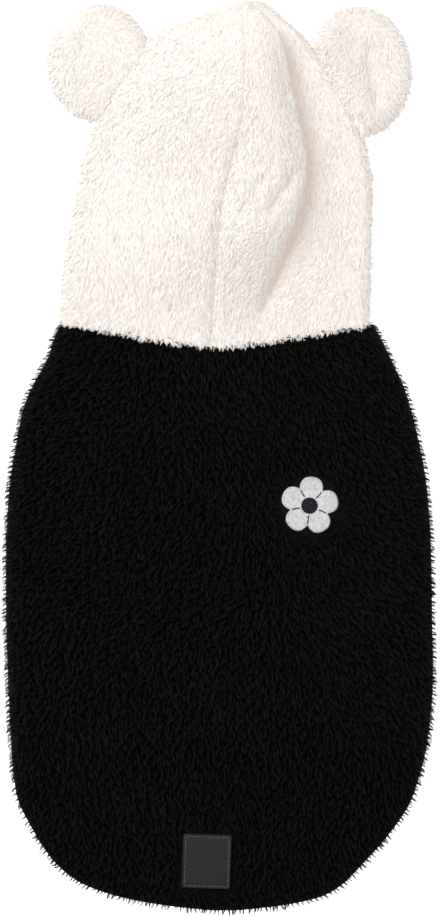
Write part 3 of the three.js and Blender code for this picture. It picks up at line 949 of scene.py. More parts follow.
class PileTree(ModifierTree):
    """The geometry tree that plants tufts on a backing and combs them."""

    NAME = "PlantPile"
    SOCKETS = {
        "Tufts": "Collection",
        "Spacing": "Float",
        "Thickness": "Float",
        "From": "Float",
        "To": "Float",
        "Turn": "Float",
        "Tilt": "Float",
        "Variants": "Int",
        "Seed": "Int",
        "Floor": "Float",
    }
    UPRIGHT = 0.7  # how strongly a tuft is set upright, against its cloth's own normal
    LEAN = 0.15  # how far a tuft leans to its sides, in radians
    PITCH = (-0.28, 0.22)  # how far it leans along its way, in radians
    SCALES = (0.8, 1.15)  # how much one tuft is smaller or larger than its pile's length

    def drawn(self, low: float, high: Value | float, seed: int, kind: str = "FLOAT") -> Value:
        """A random number for each point, from a seed of its own."""
        inputs = {"Min": low, "Max": high, "Seed": self.asked("Seed") + seed}
        return self.graph.value("FunctionNodeRandomValue", inputs, {"data_type": kind}, "Value")

    def named(self, name: str, kind: str = "FLOAT") -> Value:
        """An attribute that the mesh carries."""
        return self.graph.value(
            "GeometryNodeInputNamedAttribute", {"Name": name}, {"data_type": kind}, "Attribute"
        )

    def stored(self, geometry: Value, name: str, value: Value, kind: str, domain: str) -> Value:
        """The geometry with a value stored in it under a name."""
        inputs = {"Geometry": geometry, "Name": name, "Value": value}
        settings = {"data_type": kind, "domain": domain}
        return self.graph.value("GeometryNodeStoreNamedAttribute", inputs, settings)

    def vector(self, x: object, y: object, z: object = 0.0) -> Value:
        """A vector from its parts."""
        return self.graph.value("ShaderNodeCombineXYZ", {"X": x, "Y": y, "Z": z})

    def build(self, graph: Graph) -> Value:
        """Plants the tufts in a band of y, combs them, and keeps them above the floor's level.

        Args:
            graph: the wrapped tree.

        Returns:
            The pile, with its chart for the finish.
        """
        spread = graph.node(
            "GeometryNodeDistributePointsOnFaces",
            {
                "Mesh": self.asked("Geometry"),
                "Distance Min": self.asked("Spacing"),
                "Density Max": self.asked("Thickness"),
                "Density Factor": self.named("cover"),
                "Seed": self.asked("Seed"),
            },
            {"distribute_method": "POISSON"},
        )
        place = graph.value("GeometryNodeInputPosition")
        y = graph.value("ShaderNodeSeparateXYZ", {0: place}, None, "Y")
        outside = y.below(self.asked("From")) + (1 - y.below(self.asked("To")))
        inputs = {"Geometry": graph.out(spread, "Points"), "Selection": outside}
        band = graph.value("GeometryNodeDeleteGeometry", inputs, {"domain": "POINT"})

        normal = graph.node("ShaderNodeSeparateXYZ", {0: graph.out(spread, "Normal")})
        nx, ny, nz = (graph.out(normal, part) for part in "XYZ")
        risen = self.vector(nx, ny, nz.at_least(0.0) + self.UPRIGHT)
        align = "FunctionNodeAlignRotationToVector"
        stand = graph.value(align, {"Vector": risen}, {"axis": "Z"})
        inputs = {"Rotation": stand, "Vector": self.named("comb", "FLOAT_VECTOR")}
        combed = graph.value(align, inputs, {"axis": "X", "pivot_axis": "Z"})
        loose = self.vector(
            self.drawn(-self.LEAN, self.LEAN, 3),
            self.drawn(*self.PITCH, 4) * self.asked("Tilt"),
            self.drawn(-1, 1, 5) * self.asked("Turn"),
        )
        euler = graph.value("FunctionNodeEulerToRotation", {"Euler": loose})
        inputs = {"Rotation": combed, "Rotate By": euler}
        turned = graph.value("FunctionNodeRotateRotation", inputs, {"rotation_space": "LOCAL"})

        inputs = {
            "Collection": self.asked("Tufts"), "Separate Children": True, "Reset Children": True
        }
        picked = graph.value("GeometryNodeCollectionInfo", inputs)
        planted = graph.value(
            "GeometryNodeInstanceOnPoints",
            {
                "Points": self.stored(band, "ground", risen, "FLOAT_VECTOR", "POINT"),
                "Instance": picked,
                "Pick Instance": True,
                "Instance Index": self.drawn(0, self.asked("Variants") - 1, 6, "INT"),
                "Rotation": turned,
                "Scale": self.named("length") * self.drawn(*self.SCALES, 7),
            },
        )
        toned = self.stored(planted, "tone", self.drawn(0.0, 1.0, 8), "FLOAT", "INSTANCE")
        real = graph.value("GeometryNodeRealizeInstances", {"Geometry": toned})

        spot = graph.node("ShaderNodeSeparateXYZ", {0: place})
        x, y, z = (graph.out(spot, part) for part in "XYZ")
        lifted = self.vector(x, y, z.at_least(self.asked("Floor")))
        laid = graph.value("GeometryNodeSetPosition", {"Geometry": real, "Position": lifted})
        chart = self.vector(self.named("tone") + self.named("side") * 0.01, self.named("along"))
        return self.stored(laid, "OFBake", chart, "FLOAT2", "CORNER")


@dataclass(frozen=True)
class Pile:
    """What one piece of pile is planted with."""

    tuft: TuftShape
    finish: PileFinish
    spacing: float  # the least distance between tufts, in millimetres
    turn: float  # how far a tuft may turn from the combed way, in radians
    tilt: float  # how unevenly the tufts stand up, as a share of a shaggy pile's
    seed: int


BLACK_FUR = Pile(BLACK_TUFT, BLACK_PILE, 2.35, 0.42, 1.0, 21)
CREAM_FUR = Pile(CREAM_TUFT, CREAM_PILE, 1.25, 0.6, 0.4, 22)


class Planter:
    """Plants pile on backings, sharing its tree, tufts and materials."""

    FLOOR = 0.25 * MM  # the lowest level of a fibre
    MOST_PER_SQUARE_METRE = 900_000.0  # tufts, before the least distance is kept

    def __init__(self) -> None:
        """Makes the shared tree."""
        self.tree = PileTree()
        self.tufts: dict[str, bpy.types.Collection] = {}
        self.materials: dict[str, Material] = {}

    def material(self, finish: Finish) -> Material:
        """The finish's material, made once."""
        if finish.name not in self.materials:
            self.materials[finish.name] = finish.material()
        return self.materials[finish.name]

    def plant(
        self, backing: Object, pile: Pile, name: str, band: tuple[float, float] = (-1.0, 1.0)
    ) -> Object:
        """Plants pile on a backing that carries cover, comb and length.

        Args:
            backing: the backing's object, which stays as it is.
            pile: what is planted.
            name: the new piece's name.
            band: the lowest and highest y of the roots, in metres.

        Returns:
            The pile as a plain mesh object.
        """
        tuft = pile.tuft
        if tuft.name not in self.tufts:
            self.tufts[tuft.name] = tuft.collection()
        values = {
            "Tufts": self.tufts[tuft.name],
            "Spacing": pile.spacing * MM,
            "Thickness": self.MOST_PER_SQUARE_METRE,
            "From": band[0],
            "To": band[1],
            "Turn": pile.turn,
            "Tilt": pile.tilt,
            "Variants": tuft.variants,
            "Seed": pile.seed,
            "Floor": self.FLOOR,
            "Finish": self.material(pile.finish),
        }
        return self.tree.run(placed(name + "_ground", backing.data.copy()), name, values)

    def clear(self) -> None:
        """Removes the tufts that only served as models."""
        for group in self.tufts.values():
            discard(*group.objects)
            bpy.data.collections.remove(group)
        bpy.data.node_groups.remove(self.tree.tree)


class ThreadTree(ModifierTree):
    """The geometry tree that turns drawn lines into round thread."""

    NAME = "LayThread"
    SOCKETS = {"Radius": "Float", "Sides": "Int"}

    def build(self, graph: Graph) -> Value:
        """Turns the lines into closed tubes."""
        line = graph.value("GeometryNodeMeshToCurve", {"Mesh": self.asked("Geometry")})
        inputs = {"Resolution": self.asked("Sides"), "Radius": self.asked("Radius")}
        ring = graph.value("GeometryNodeCurvePrimitiveCircle", inputs, {"mode": "RADIUS"}, "Curve")
        inputs = {"Curve": line, "Profile Curve": ring, "Fill Caps": True}
        tube = graph.value("GeometryNodeCurveToMesh", inputs)
        return graph.value("GeometryNodeRealizeInstances", {"Geometry": tube})

    def lay(
        self, name: str, lines: Sequence[Array], radius: float, sides: int, finish: Material
    ) -> Object:
        """Turns lines into one piece of thread.

        Args:
            name: the piece's name.
            lines: the points of each line, in millimetres.
            radius: the thread's radius in millimetres.
            sides: how many sides it has.
            finish: its material.

        Returns:
            The thread as a plain mesh object.
        """
        starts = np.cumsum([0, *map(len, lines)])
        edges = [
            (start + i, start + i + 1)
            for start, line in zip(starts, lines)
            for i in range(len(line) - 1)
        ]
        drawn = new_object(name + "_lines", np.vstack(lines), edges=edges)
        made = self.run(drawn, name, {"Radius": radius * MM, "Sides": sides, "Finish": finish})
        made.data.shade_smooth()
        return made


# What the pieces share


def dress(piece: Object, material: Material | None = None) -> Object:
    """Gives a piece its material and the body that it rides on."""
    if material is not None:
        piece.data.materials.clear()
        piece.data.materials.append(material)
    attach(piece, BODY)
    log.info("%s: %d faces", piece.name, len(piece.data.polygons))
    return piece


def sheet_area(piece: Object) -> float:
    """The area of one layer of a closed cloth piece, in square metres."""
    return sum(face.area for face in piece.data.polygons) / 2


# The body


@dataclass
class Body:
    """The black sleeveless body: a back panel over a shorter belly panel."""

    edge: float = 1.2  # how far the backing's edge lies inside the tips of the pile
    neck_edge: float = 0.8
    backing: float = 2.6
    lip: float = 0.9  # height of the backing's own edge
    thinnest: float = 0.7
    pressed_rise: float = 2.4
    pressed_length: float = 0.42  # the pile's length beside what is sewn on, as a share
    rim_length: float = 0.55
    ramp_steps: int = 8
    side_steps: int = 150
    neck_steps: int = 34
    hem_steps: int = 60
    bands: int = 3
    leg_hole: tuple[float, float, float, float] = (60.0, 34.0, 30.0, 38.0)  # centre, half sizes
    back_flat: tuple[float, float] = (0.306, 0.42)
    belly_flat: tuple[float, float] = (0.286, 0.30)
    creases: tuple[Crease, ...] = (
        *BODY_CREASES,
        Crease(-60, 55, -95, 10, 12, 0.8),
        Crease(62, 60, 84, 8, 11, 0.9),
        Crease(-30, -120, -52, -200, 15, 1.0),
        Crease(40, -215, 8, -262, 12, -0.8),
        Crease(-140, -60, -118, -130, 10, -0.9),
        Crease(138, -60, 122, -118, 10, -0.8),
    )

    def outline(self, inset: float = 0.0) -> tuple[Array, int]:
        """The outline, anticlockwise from the left neck corner, and where its neck starts."""
        rows = len(BODY_OUTLINE.rows) - 1
        row = BODY_OUTLINE.at(np.linspace(0, rows, self.side_steps))
        left_x, right_x = row["left"] + inset, row["right"] - inset
        left = np.column_stack([left_x, np.minimum(row["y"], neck_y(left_x))])
        right = np.column_stack([right_x, np.minimum(row["y"], neck_y(right_x))])[::-1]
        from_right = np.linspace(right[-1, 0], 0, self.neck_steps)[1:]
        to_left = np.linspace(0, left[0, 0], self.neck_steps)[1:-1]
        x = np.concatenate([from_right, to_left])
        neck = np.column_stack([x, neck_y(x)])
        return np.vstack([left, right, neck]), 2 * self.side_steps

    def rises(self, x: Array, y: Array) -> Array:
        """How far the backing rises under the flower and the label, where pile is pressed."""
        flower = smooth((Flower.radius + 1.5 - Flower.away(x, y)) / 3)
        label = smooth((Label.room(x, y) + 1.5) / 3)
        return self.pressed_rise * np.maximum(flower, label)

    def back_heights(self, x: Array, y: Array, depth: Array) -> tuple[Array, Array]:
        """The lowest and highest z of the back's backing."""
        room = side_room(x, y)
        laid = on_belly(x, y)
        on_surface = self.lip + (self.backing - self.lip) * round_edge((depth - self.edge) / 5)
        raised = BACK_LEVEL + self.backing - self.lip
        high = mix(on_surface, self.lip + raised * round_edge((room - self.edge) / 12), laid)
        high = high - creased(self.creases, x, y) * smooth(depth / 25) + self.rises(x, y)
        low = BACK_LEVEL * laid * round_edge((room - BELLY_INSET) / BELLY_ROUND)
        return np.minimum(low, high - self.thinnest), high

    def comb(self, x: Array, y: Array) -> Array:
        """The way in which the pile lies: down the back, and out towards its sides."""
        low = smooth((y + 250) / 320)
        spread = mix(0.35, 1.7, low) * np.abs(x / 150) ** 0.6
        way_x = x / 150 * spread + 0.42 * wander(x, y, 190, 0.4) + 0.2 * wander(x, y, 70, 1.1)
        way_y = -1 + 0.25 * wander(x, y, 230, 2.2)
        foot = smooth((-240 - y) / 60)
        way_x = way_x + foot * x / 130 + 0.7 * np.sign(x) * smooth(1 - side_room(x, y) / 14)
        return np.column_stack([way_x, way_y, np.full_like(x, -0.15)])

    def length(self, x: Array, y: Array) -> Array:
        """The pile's length: less at the rim, and where it is pressed by the flower and label."""
        room = np.minimum(Flower.away(x, y) - Flower.radius, -Label.room(x, y))
        outline, neck = self.outline()
        apart = np.column_stack([x, y])[:, None] - outline[None, :neck]
        rim = np.min(np.hypot(apart[..., 0], apart[..., 1]), axis=1)
        pressed = self.pressed_length + (1 - self.pressed_length) * smooth(room / 9)
        return pressed * (self.rim_length + (1 - self.rim_length) * smooth(rim / 12))

    def back(self, planter: Planter) -> None:
        """Makes the back panel and its pile."""
        outline, neck = self.outline()
        start = np.full(len(outline), self.edge)
        start[neck:] = self.neck_edge
        steps = self.ramp_steps
        ramp = np.arange(steps) / steps
        start[neck:neck + steps] = mix(self.edge, self.neck_edge, ramp)
        start[-steps:] = mix(self.neck_edge, self.edge, ramp)
        spine = np.clip(outline[:, 1], SPINE_FOOT, SPINE_TOP)
        target = np.column_stack([np.zeros(len(outline)), spine])
        shares = tuple(np.linspace(0, 1, 22)[1:-1])
        shell = ring_shell(
            outline,
            target,
            start,
            ((0.25, 0.9, 2.2, 4.5, 7.5, 11.0, 15.0), shares),
            ((0.6, 2.5, 5.0, 8.0, 12.0, 17.0), shares[4::5]),
            self.back_heights,
        )
        x, y = shell.points[:, 0], shell.points[:, 1]
        bare = (Flower.away(x, y) - Flower.radius < 0.2) | (Label.room(x, y) > -0.2)
        piece = new_object(
            "back_panel_cloth",
            shell.points,
            shell.faces,
            cover=shell.cover * ~bare,
            comb=self.comb(x, y),
            length=self.length(x, y),
        )
        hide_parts("back_panel")
        low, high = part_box("back_panel")
        levels = np.linspace(low.y, high.y, self.bands + 1)
        levels[0], levels[-1] = -1.0, 1.0
        for number, band in enumerate(zip(levels[:-1], levels[1:])):
            fur = planter.plant(piece, BLACK_FUR, f"back_pile_{number}", band)
            dress(fur)
        dress(piece, planter.material(BLACK_BACKING))
        log.info("back panel area %.4f", sheet_area(piece))

    def belly(self, planter: Planter) -> None:
        """Makes the belly panel with its two leg holes."""
        inset = BELLY_INSET + SEAM_GAP
        outline, neck = self.outline(inset)
        x, y = outline[:, 0], outline[:, 1]
        keep = y > belly_hem_y(x) + 1
        keep[neck:] = True
        kept_x = outline[keep][:neck, 0]
        hem_x = np.linspace(kept_x.min(), kept_x.max(), self.hem_steps)[1:-1]
        hem = np.column_stack([hem_x, belly_hem_y(hem_x)])
        left = outline[:self.side_steps][keep[:self.side_steps]]
        right = outline[self.side_steps:neck][keep[self.side_steps:neck]]
        ring = np.vstack([left, hem, right, outline[neck:]])
        spine = np.clip(ring[:, 1], BELLY_SPINE_FOOT, SPINE_TOP)
        target = np.column_stack([np.zeros(len(ring)), spine])

        def heights(x: Array, y: Array, depth: Array) -> tuple[Array, Array]:
            """The lowest and highest z of the belly panel, under the back's own underside."""
            room = side_room(x, y)
            under = BACK_LEVEL * on_belly(x, y) * round_edge((room - BELLY_INSET) / BELLY_ROUND)
            high = np.maximum(under - LAYER_GAP, 0.2) * round_edge((depth + 0.6) / 4)
            return np.zeros_like(x), high

        shell = ring_shell(
            ring, target, 0.0, ((1.0, 3.0, 6.0), (0.25, 0.5, 0.75)), ((1.0, 4.0), (0.5,)), heights
        )
        piece = new_object("belly_panel_cloth", shell.points, shell.faces)
        leg_x, *hole = self.leg_hole
        rings = (ellipse(side * leg_x, *hole, 64) for side in (-1, 1))
        piece = cut(piece, *(prism("leg_hole", ring, -3, 12) for ring in rings))
        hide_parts("belly_panel")
        dress(piece, planter.material(BLACK_BACKING))
        log.info("belly panel area %.4f", sheet_area(piece))


# The hood


@dataclass
class Hood:
    """The cream hood: two side panels that meet at a seam over the crown, folded over."""

    fold_radius: float = 4.0  # of the cloth's middle, where the flap turns under
    crest_share: float = 0.85  # where the crown's crest and its rise lie, as shares
    rise_share: float = 0.45
    rise_height: float = 0.68
    neck_fade: float = 60.0  # over which the sections leave the neck seam's curve
    shadowed: float = 9.0  # how far under the flap the lower layer has its pile
    seam_dip: float = 0.3  # how much shorter the pile is along the crown's seam, as a share
    seam_width: float = 2.2
    seam_end: float = 235.0
    top_level: float = 12.0  # what lies higher is the crown's own face
    groove_dip: float = 0.5  # the same for the groove beside the flap, where the backing's painted warm shade shows through
    groove_width: float = 5.0
    groove_away: float = 3.0
    ear_gap: float = 0.4  # between the ears' cloth and the hood's
    opening: tuple[float, float, float, float] = (4.0, 181.3, 52.7, 65.2)  # centre, half sizes
    pile: float = 1.4  # how far the backing lies inside the tips of the pile
    rows_each: int = 5
    columns: tuple[int, int] = (56, 92)  # points of a section on the left and on the right
    doubled: float = 1e-4  # points of a section that are closer than this are one point
    flat: tuple[tuple[float, float], tuple[float, float]] = ((0.25, 0.25), (0.3, 0.25))
    creases: tuple[Crease, ...] = (
        *HOOD_CREASES,
        Crease(-88, 190, -62, 236, 9, 1.1),
        Crease(-34, 120, -22, 170, 10, -0.8),
        Crease(62, 110, 84, 130, 9, 0.9),
        Crease(24, 262, 40, 240, 6, 1.4),
        Crease(-52, 205, -30, 262, 10, -0.9),
        Crease(62, 178, 33, 122, 7, 3.4),
        Crease(31, 196, 17, 172, 5, 1.6),
    )

    def section(self, row: dict[str, Array]) -> Array:
        """The middle of the cloth in one section, clockwise from the bottom of the left fold.

        Args:
            row: the hood's sizes at this section.

        Returns:
            For each point its x, its z and 1 where pile stands on it, or 0 inside the fold.
        """
        side = (row["edge"] - HOOD_PILE) / 2
        turn = math.radians(row["turn"])
        flank = min(math.radians(row["flank"]), turn)
        radius = self.fold_radius
        parts: list[Array] = []

        def add(x: Array, z: Array, cover: Array | float) -> None:
            """Adds points to the section."""
            parts.append(np.column_stack([x, z, np.broadcast_to(cover, x.shape)]))

        def arc(
            x: float, z: float, r: float, start: float, end: float, steps: int, cover: float = 1
        ) -> None:
            """Adds points on a part of a circle, from one angle to another."""
            a = np.linspace(start, end, steps)
            add(x + r * np.sin(a), z + r * np.cos(a), cover)

        left_x = row["left"] + HALF_HOOD + side
        arc(left_x, HALF_HOOD + side, side, -math.pi, 0, 14)
        level = row["edge"] - HALF_HOOD
        fold_x = row["flap"] - HALF_HOOD - radius
        fold_z = level + radius - 2 * radius * math.cos(turn) + row["tuck"] * math.sin(turn)
        end = (fold_x + radius * math.sin(flank), fold_z + radius * math.cos(flank))
        crest_z = end[1] + row["crest"]
        corners = np.array(
            [
                (left_x, level),
                (mix(left_x, end[0], self.rise_share), mix(level, crest_z, self.rise_height)),
                (mix(left_x, end[0], self.crest_share), crest_z),
                end,
            ]
        )
        crown = catmull(corners, np.linspace(0, 3, 60)[1:-1])
        add(crown[:, 0], crown[:, 1], 1)
        arc(fold_x, fold_z, radius, flank, turn, 14)
        parts[-1][10:, 2] = 1 - smooth((turn - 1.2) / 0.5)
        under_x = parts[-1][-1, 0]
        back_x = under_x + row["tuck"] * math.cos(turn) + radius * math.sin(turn)
        tucked = 1 - float(smooth((turn - 0.7) / 0.5))
        arc(back_x, level + radius, radius, turn + math.pi, math.pi, 10, tucked)
        right_x = row["right"] - HALF_HOOD - side
        flat_x = mix(back_x, right_x, np.linspace(0, 1, 24)[1:-1])
        covered = np.where(flat_x > row["flap"] - self.shadowed, 1.0, tucked)
        add(flat_x, np.full_like(flat_x, level), covered)
        arc(right_x, HALF_HOOD + side, side, 0, math.pi, 14)
        foot = np.linspace(right_x, left_x, 42)[1:-1]
        add(foot, np.full_like(foot, HALF_HOOD), 0)
        return np.vstack(parts)

    def halves(self, row: dict[str, Array], seam: float) -> dict[Side, Array]:
        """Splits a section where the seam crosses it, and spaces its points evenly.

        Args:
            row: the hood's sizes at this section.
            seam: the x of the centre seam there.

        Returns:
            For each side the points' x, z, normal x, normal z and cover.
        """
        path = self.section(row)
        keep = np.hypot(*(path[:, :2] - np.roll(path[:, :2], 1, 0)).T) > self.doubled
        path = path[keep]
        along = np.roll(path[:, :2], -1, 0) - np.roll(path[:, :2], 1, 0)
        along /= np.linalg.norm(along, axis=1)[:, None]
        data = np.column_stack([path[:, :2], -along[:, 1], along[:, 0], path[:, 2]])
        count = len(data)
        first = next(i for i in range(14, count) if data[i, 0] <= seam < data[i + 1, 0])
        last = next(i for i in range(count - 2, 0, -1) if data[i, 0] >= seam > data[i + 1, 0])

        def crossing(i: int, x: float) -> Array:
            """The section between its points i and i + 1, at a given x."""
            share = (x - data[i, 0]) / (data[i + 1, 0] - data[i, 0])
            return mix(data[i], data[i + 1], share)

        low, high = seam - SEAM_GAP / 2, seam + SEAM_GAP / 2
        left = (crossing(last, low), data[last + 1:], data[:first + 1], crossing(first, low))
        right = (crossing(first, high), data[first + 1:last + 1], crossing(last, high))
        made = {}
        for side, parts, columns in zip(Side, (left, right), self.columns):
            strip = np.vstack(parts)
            steps = np.hypot(*np.diff(strip[:, :2], axis=0).T)
            travelled = np.concatenate([[0], np.cumsum(steps)])
            wanted = np.linspace(0, travelled[-1], columns)
            even = np.column_stack([np.interp(wanted, travelled, strip[:, k]) for k in range(5)])
            even[:, 2:4] /= np.maximum(np.linalg.norm(even[:, 2:4], axis=1), 1e-6)[:, None]
            made[side] = even
        return made

    def layers(self, even: Array, y: float, grown: float) -> tuple[Array, Array]:
        """The outer and the inner face of a strip of a section.

        Args:
            even: the strip's points from halves.
            y: the section's y.
            grown: how much further out the outer face lies than the backing's own.

        Returns:
            Two arrays of x, y and z.
        """
        x, z, nx, nz = even[:, :4].T
        under = smooth((-nz - 0.3) / 0.5) * smooth((HALF_HOOD + 5 - z) / 3)
        out = mix(HALF_HOOD - self.pile, HALF_HOOD - 0.05, under) + grown
        out = out - creased(self.creases, x, np.full_like(x, y)) * clamp01(nz) ** 2
        fade = 1 - smooth((y - HOOD_ROWS.rows[0][0]) / self.neck_fade)
        row_y = y + (neck_y(x) + SEAM_GAP - HOOD_ROWS.rows[0][0]) * fade
        outer = np.column_stack([x + nx * out, row_y, z + nz * out])
        inner = np.column_stack([x - nx * HALF_HOOD, row_y, z - nz * HALF_HOOD])
        return outer, inner

    def sections(self, grown: float = 0.0) -> list[dict[Side, tuple[Array, Array, Array]]]:
        """Every section, from the neck to the crown, as outer face, inner face and cover."""
        made = []
        last = len(HOOD_ROWS.rows) - 1
        for place in np.linspace(0, last, last * self.rows_each + 1):
            row = {key: float(value) for key, value in HOOD_ROWS.at(place).items()}
            halves = self.halves(row, float(SEAM_LINE.at_y(row["y"])["x"]))
            made.append(
                {
                    side: (*self.layers(even, row["y"], grown), even[:, 4])
                    for side, even in halves.items()
                }
            )
        return made

    def shell(self, side: Side, sections: list[dict[Side, tuple[Array, Array, Array]]]) -> Shell:
        """A side panel as a closed shell."""
        outer, inner, cover = (
            np.stack([section[side][k] for section in sections]) for k in range(3)
        )
        rows, columns = cover.shape
        back = rows * columns
        faces: list[Face] = []

        def strip(a: Sequence[int], b: Sequence[int]) -> None:
            """Adds the faces between two rows of points."""
            faces.extend((a[k], a[k + 1], b[k + 1], b[k]) for k in range(len(a) - 1))

        grid = np.arange(back).reshape(rows, columns)
        for r in range(rows - 1):
            strip(grid[r], grid[r + 1])
            strip(grid[r + 1] + back, grid[r] + back)
        strip(grid[0] + back, grid[0])
        strip(grid[-1], grid[-1] + back)
        strip(grid[:, 0], grid[:, 0] + back)
        strip(grid[:, -1] + back, grid[:, -1])
        points = np.vstack([outer.reshape(-1, 3), inner.reshape(-1, 3)])
        faces = [tuple(int(i) for i in face) for face in faces]
        return Shell(points, faces, np.concatenate([cover.ravel(), np.zeros(back)]))

    def room(self) -> Object:
        """The closed room that the hood's backing takes, which its ears stay out of."""
        rings = [
            np.vstack([section[side][0] for side in Side])
            for section in self.sections(grown=self.ear_gap)
        ]
        count = len(rings[0])
        last = (len(rings) - 1) * count
        faces: list[Face] = []
        for start in range(0, last, count):
            faces += ring_faces(start, start + count, count)
        faces.append(tuple(range(count))[::-1])
        faces.append(tuple(range(last, last + count)))
        return new_object("hood_room", np.vstack(rings), faces)

    def comb(self, x: Array, y: Array) -> Array:
        """The way in which the pile lies: down to the neck, and out at both sides."""
        row = HOOD_ROWS.at_y(y)
        out_left = smooth((row["left"] + 22 - x) / 22)
        out_right = smooth((x - row["right"] + 18) / 18)
        way_x = 0.55 * wander(x, y, 120, 0.7) - 1.1 * out_left + 0.8 * out_right
        way_y = -1 + 0.3 * wander(x, y, 90, 3.1) + 1.5 * smooth((y - 298) / 22)
        return np.column_stack([way_x, way_y, np.full_like(x, -0.1)])

    def length(self, x: Array, y: Array, z: Array) -> Array:
        """The pile's length: less along the crown's seam, and in the groove under the flap."""
        seam = SEAM_LINE.at_y(y)["x"]
        on_crown = (y < self.seam_end) * (z > self.top_level)
        length = 1 - self.seam_dip * np.exp(-(((x - seam) / self.seam_width) ** 2)) * on_crown
        fold = HOOD_ROWS.at_y(y)["flap"] + self.groove_away
        groove = np.exp(-(((x - fold) / self.groove_width) ** 2))
        groove = groove * smooth((y - 96) / 12) * smooth((300 - y) / 30)
        return length * (1 - self.groove_dip * groove)

    def build(self, planter: Planter) -> None:
        """Makes the side panels and their pile."""
        sections = self.sections()
        for number, side in enumerate(Side):
            shell = self.shell(side, sections)
            x, y, z = shell.points.T
            piece = new_object(
                f"hood_{side.value}_cloth",
                shell.points,
                shell.faces,
                cover=shell.cover,
                comb=self.comb(x, y),
                length=self.length(x, y, z),
            )
            opening = prism("face_opening", ellipse(*self.opening, 80), -2, HOOD_PILE + 0.6)
            piece = cut(piece, opening)
            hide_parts(f"hood_{side.value}")
            fur = dress(planter.plant(piece, CREAM_FUR, f"hood_{side.value}_pile"))
            dress(piece, planter.material(CREAM_BACKING_PAINTED_SHADE))
            log.info("hood %s area %.4f", side.value, sheet_area(piece))


# The ears


@dataclass
class Ear:
    """A round ear of two panels that starts at a straight base on the hood's side."""

    side: Side
    x: float
    y: float
    half_width: float
    half_length: float
    thick: float  # height of the back ply
    base: tuple[float, float, float, float]  # x and y of both ends
    lift: float  # how far its base is raised by the hood
    reach: float  # how far out from its base it comes down again
    creases: tuple[Crease, ...] = ()
    edge: float = 1.9
    backing: float = 6.8
    back_rim: float = 4.0  # how far in from its edge the back ply has pile
    round_width: float = 11.0  # how wide the round edge of each ply is
    thinnest: float = 0.6

    def out(self, x: Array, y: Array) -> Array:
        """How far a point is out from the ear's base."""
        x0, y0, x1, y1 = self.base
        length = math.hypot(x1 - x0, y1 - y0)
        return ((y - y0) * (x1 - x0) - (x - x0) * (y1 - y0)) / length

    def outline(self) -> Array:
        """The ear's outline, with what would lie behind its base brought forward onto it."""
        x0, y0, x1, y1 = self.base
        length = math.hypot(x1 - x0, y1 - y0)
        ring = ellipse(self.x, self.y, self.half_width, self.half_length, 120)
        behind = np.minimum(0, self.out(*ring.T))
        return ring + np.outer(behind, [(y1 - y0) / length, -(x1 - x0) / length])

    def heights(self, ply: Ply) -> Heights:
        """The lowest and highest z of a ply."""

        def of(x: Array, y: Array, depth: Array) -> tuple[Array, Array]:
            """The heights at points, which rise to the ear's base."""
            rise = self.lift * smooth(1 - self.out(x, y) / self.reach)
            inset = np.maximum(depth - self.edge, 0)
            if ply is Ply.BACK:
                dome = (self.thick - 0.3) * round_edge((inset + 1.2) / self.round_width)
                return self.thick - dome + rise, self.thick + rise
            lower = self.thick + SEAM_GAP
            dome = self.backing * round_edge((inset + 0.6) / self.round_width)
            dip = creased(self.creases, x, y) * clamp01(inset / 2)
            return lower + rise, lower + np.maximum(dome - dip, self.thinnest) + rise

        return of

    def comb(self, x: Array, y: Array) -> Array:
        """The way in which the pile lies: out from the ear's middle, and round a little."""
        dx, dy = (x - self.x) / self.half_width, (y - self.y) / self.half_length
        rim = smooth((np.hypot(dx, dy) - 0.55) / 0.4)
        way_x = 1.3 * rim * dx + 0.7 * wander(x, y, 60, 1.3)
        way_y = 1.3 * rim * dy - 0.5 + 0.6 * wander(x, y, 75, 2.9)
        return np.column_stack([way_x, way_y, np.zeros_like(x)])

    def build(self, planter: Planter, hood: Hood) -> None:
        """Makes both panels of the ear and their pile."""
        outline = self.outline()
        target = np.broadcast_to(np.array([self.x, self.y]), outline.shape)
        domed = ((0.4, 1.4, 3.0, 5.5, 8.5, 12.0), (0.2, 0.4, 0.6, 0.8))
        flat = ((), (0.5,))
        for ply, top, bottom in ((Ply.BACK, flat, domed), (Ply.FRONT, domed, flat)):
            shell = ring_shell(outline, target, self.edge, top, bottom, self.heights(ply))
            x, y, z = shell.points.T
            cover = shell.cover
            if ply is Ply.BACK:
                at_rim = self.depth(x, y) < self.edge + self.back_rim
                cover = (at_rim & (z < self.thick - 0.2 + self.lift)).astype(float)
            name = f"ear_{self.side.value}_{ply.value}"
            piece = new_object(
                f"{name}_cloth",
                shell.points,
                shell.faces,
                cover=cover,
                comb=self.comb(x, y),
                length=np.ones_like(x),
            )
            piece = cut(piece, hood.room())
            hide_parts(name)
            fur = dress(planter.plant(piece, CREAM_FUR, f"{name}_pile"))
            dress(piece, planter.material(CREAM_BACKING_PAINTED_SHADE))
            log.info("%s area %.5f", name, sheet_area(piece))

    def depth(self, x: Array, y: Array) -> Array:
        """Roughly how far a point is in from the ear's round outline."""
        share = np.hypot((x - self.x) / self.half_width, (y - self.y) / self.half_length)
        return (1 - share) * min(self.half_width, self.half_length)


EARS = (
    Ear(Side.LEFT, -85, 277.5, 37, 42, 8.4, (-75, 220, -25, 335), 0, 30),
    Ear(
        Side.RIGHT, 96.5, 270.5, 38, 46.5, 10.2, (59, 299, 104, 217), 9, 38,
        creases=(Crease(104, 284, 109, 250, 6, 2.6), Crease(88, 300, 94, 290, 5, 1.0)),
    ),
)


# What is sewn on


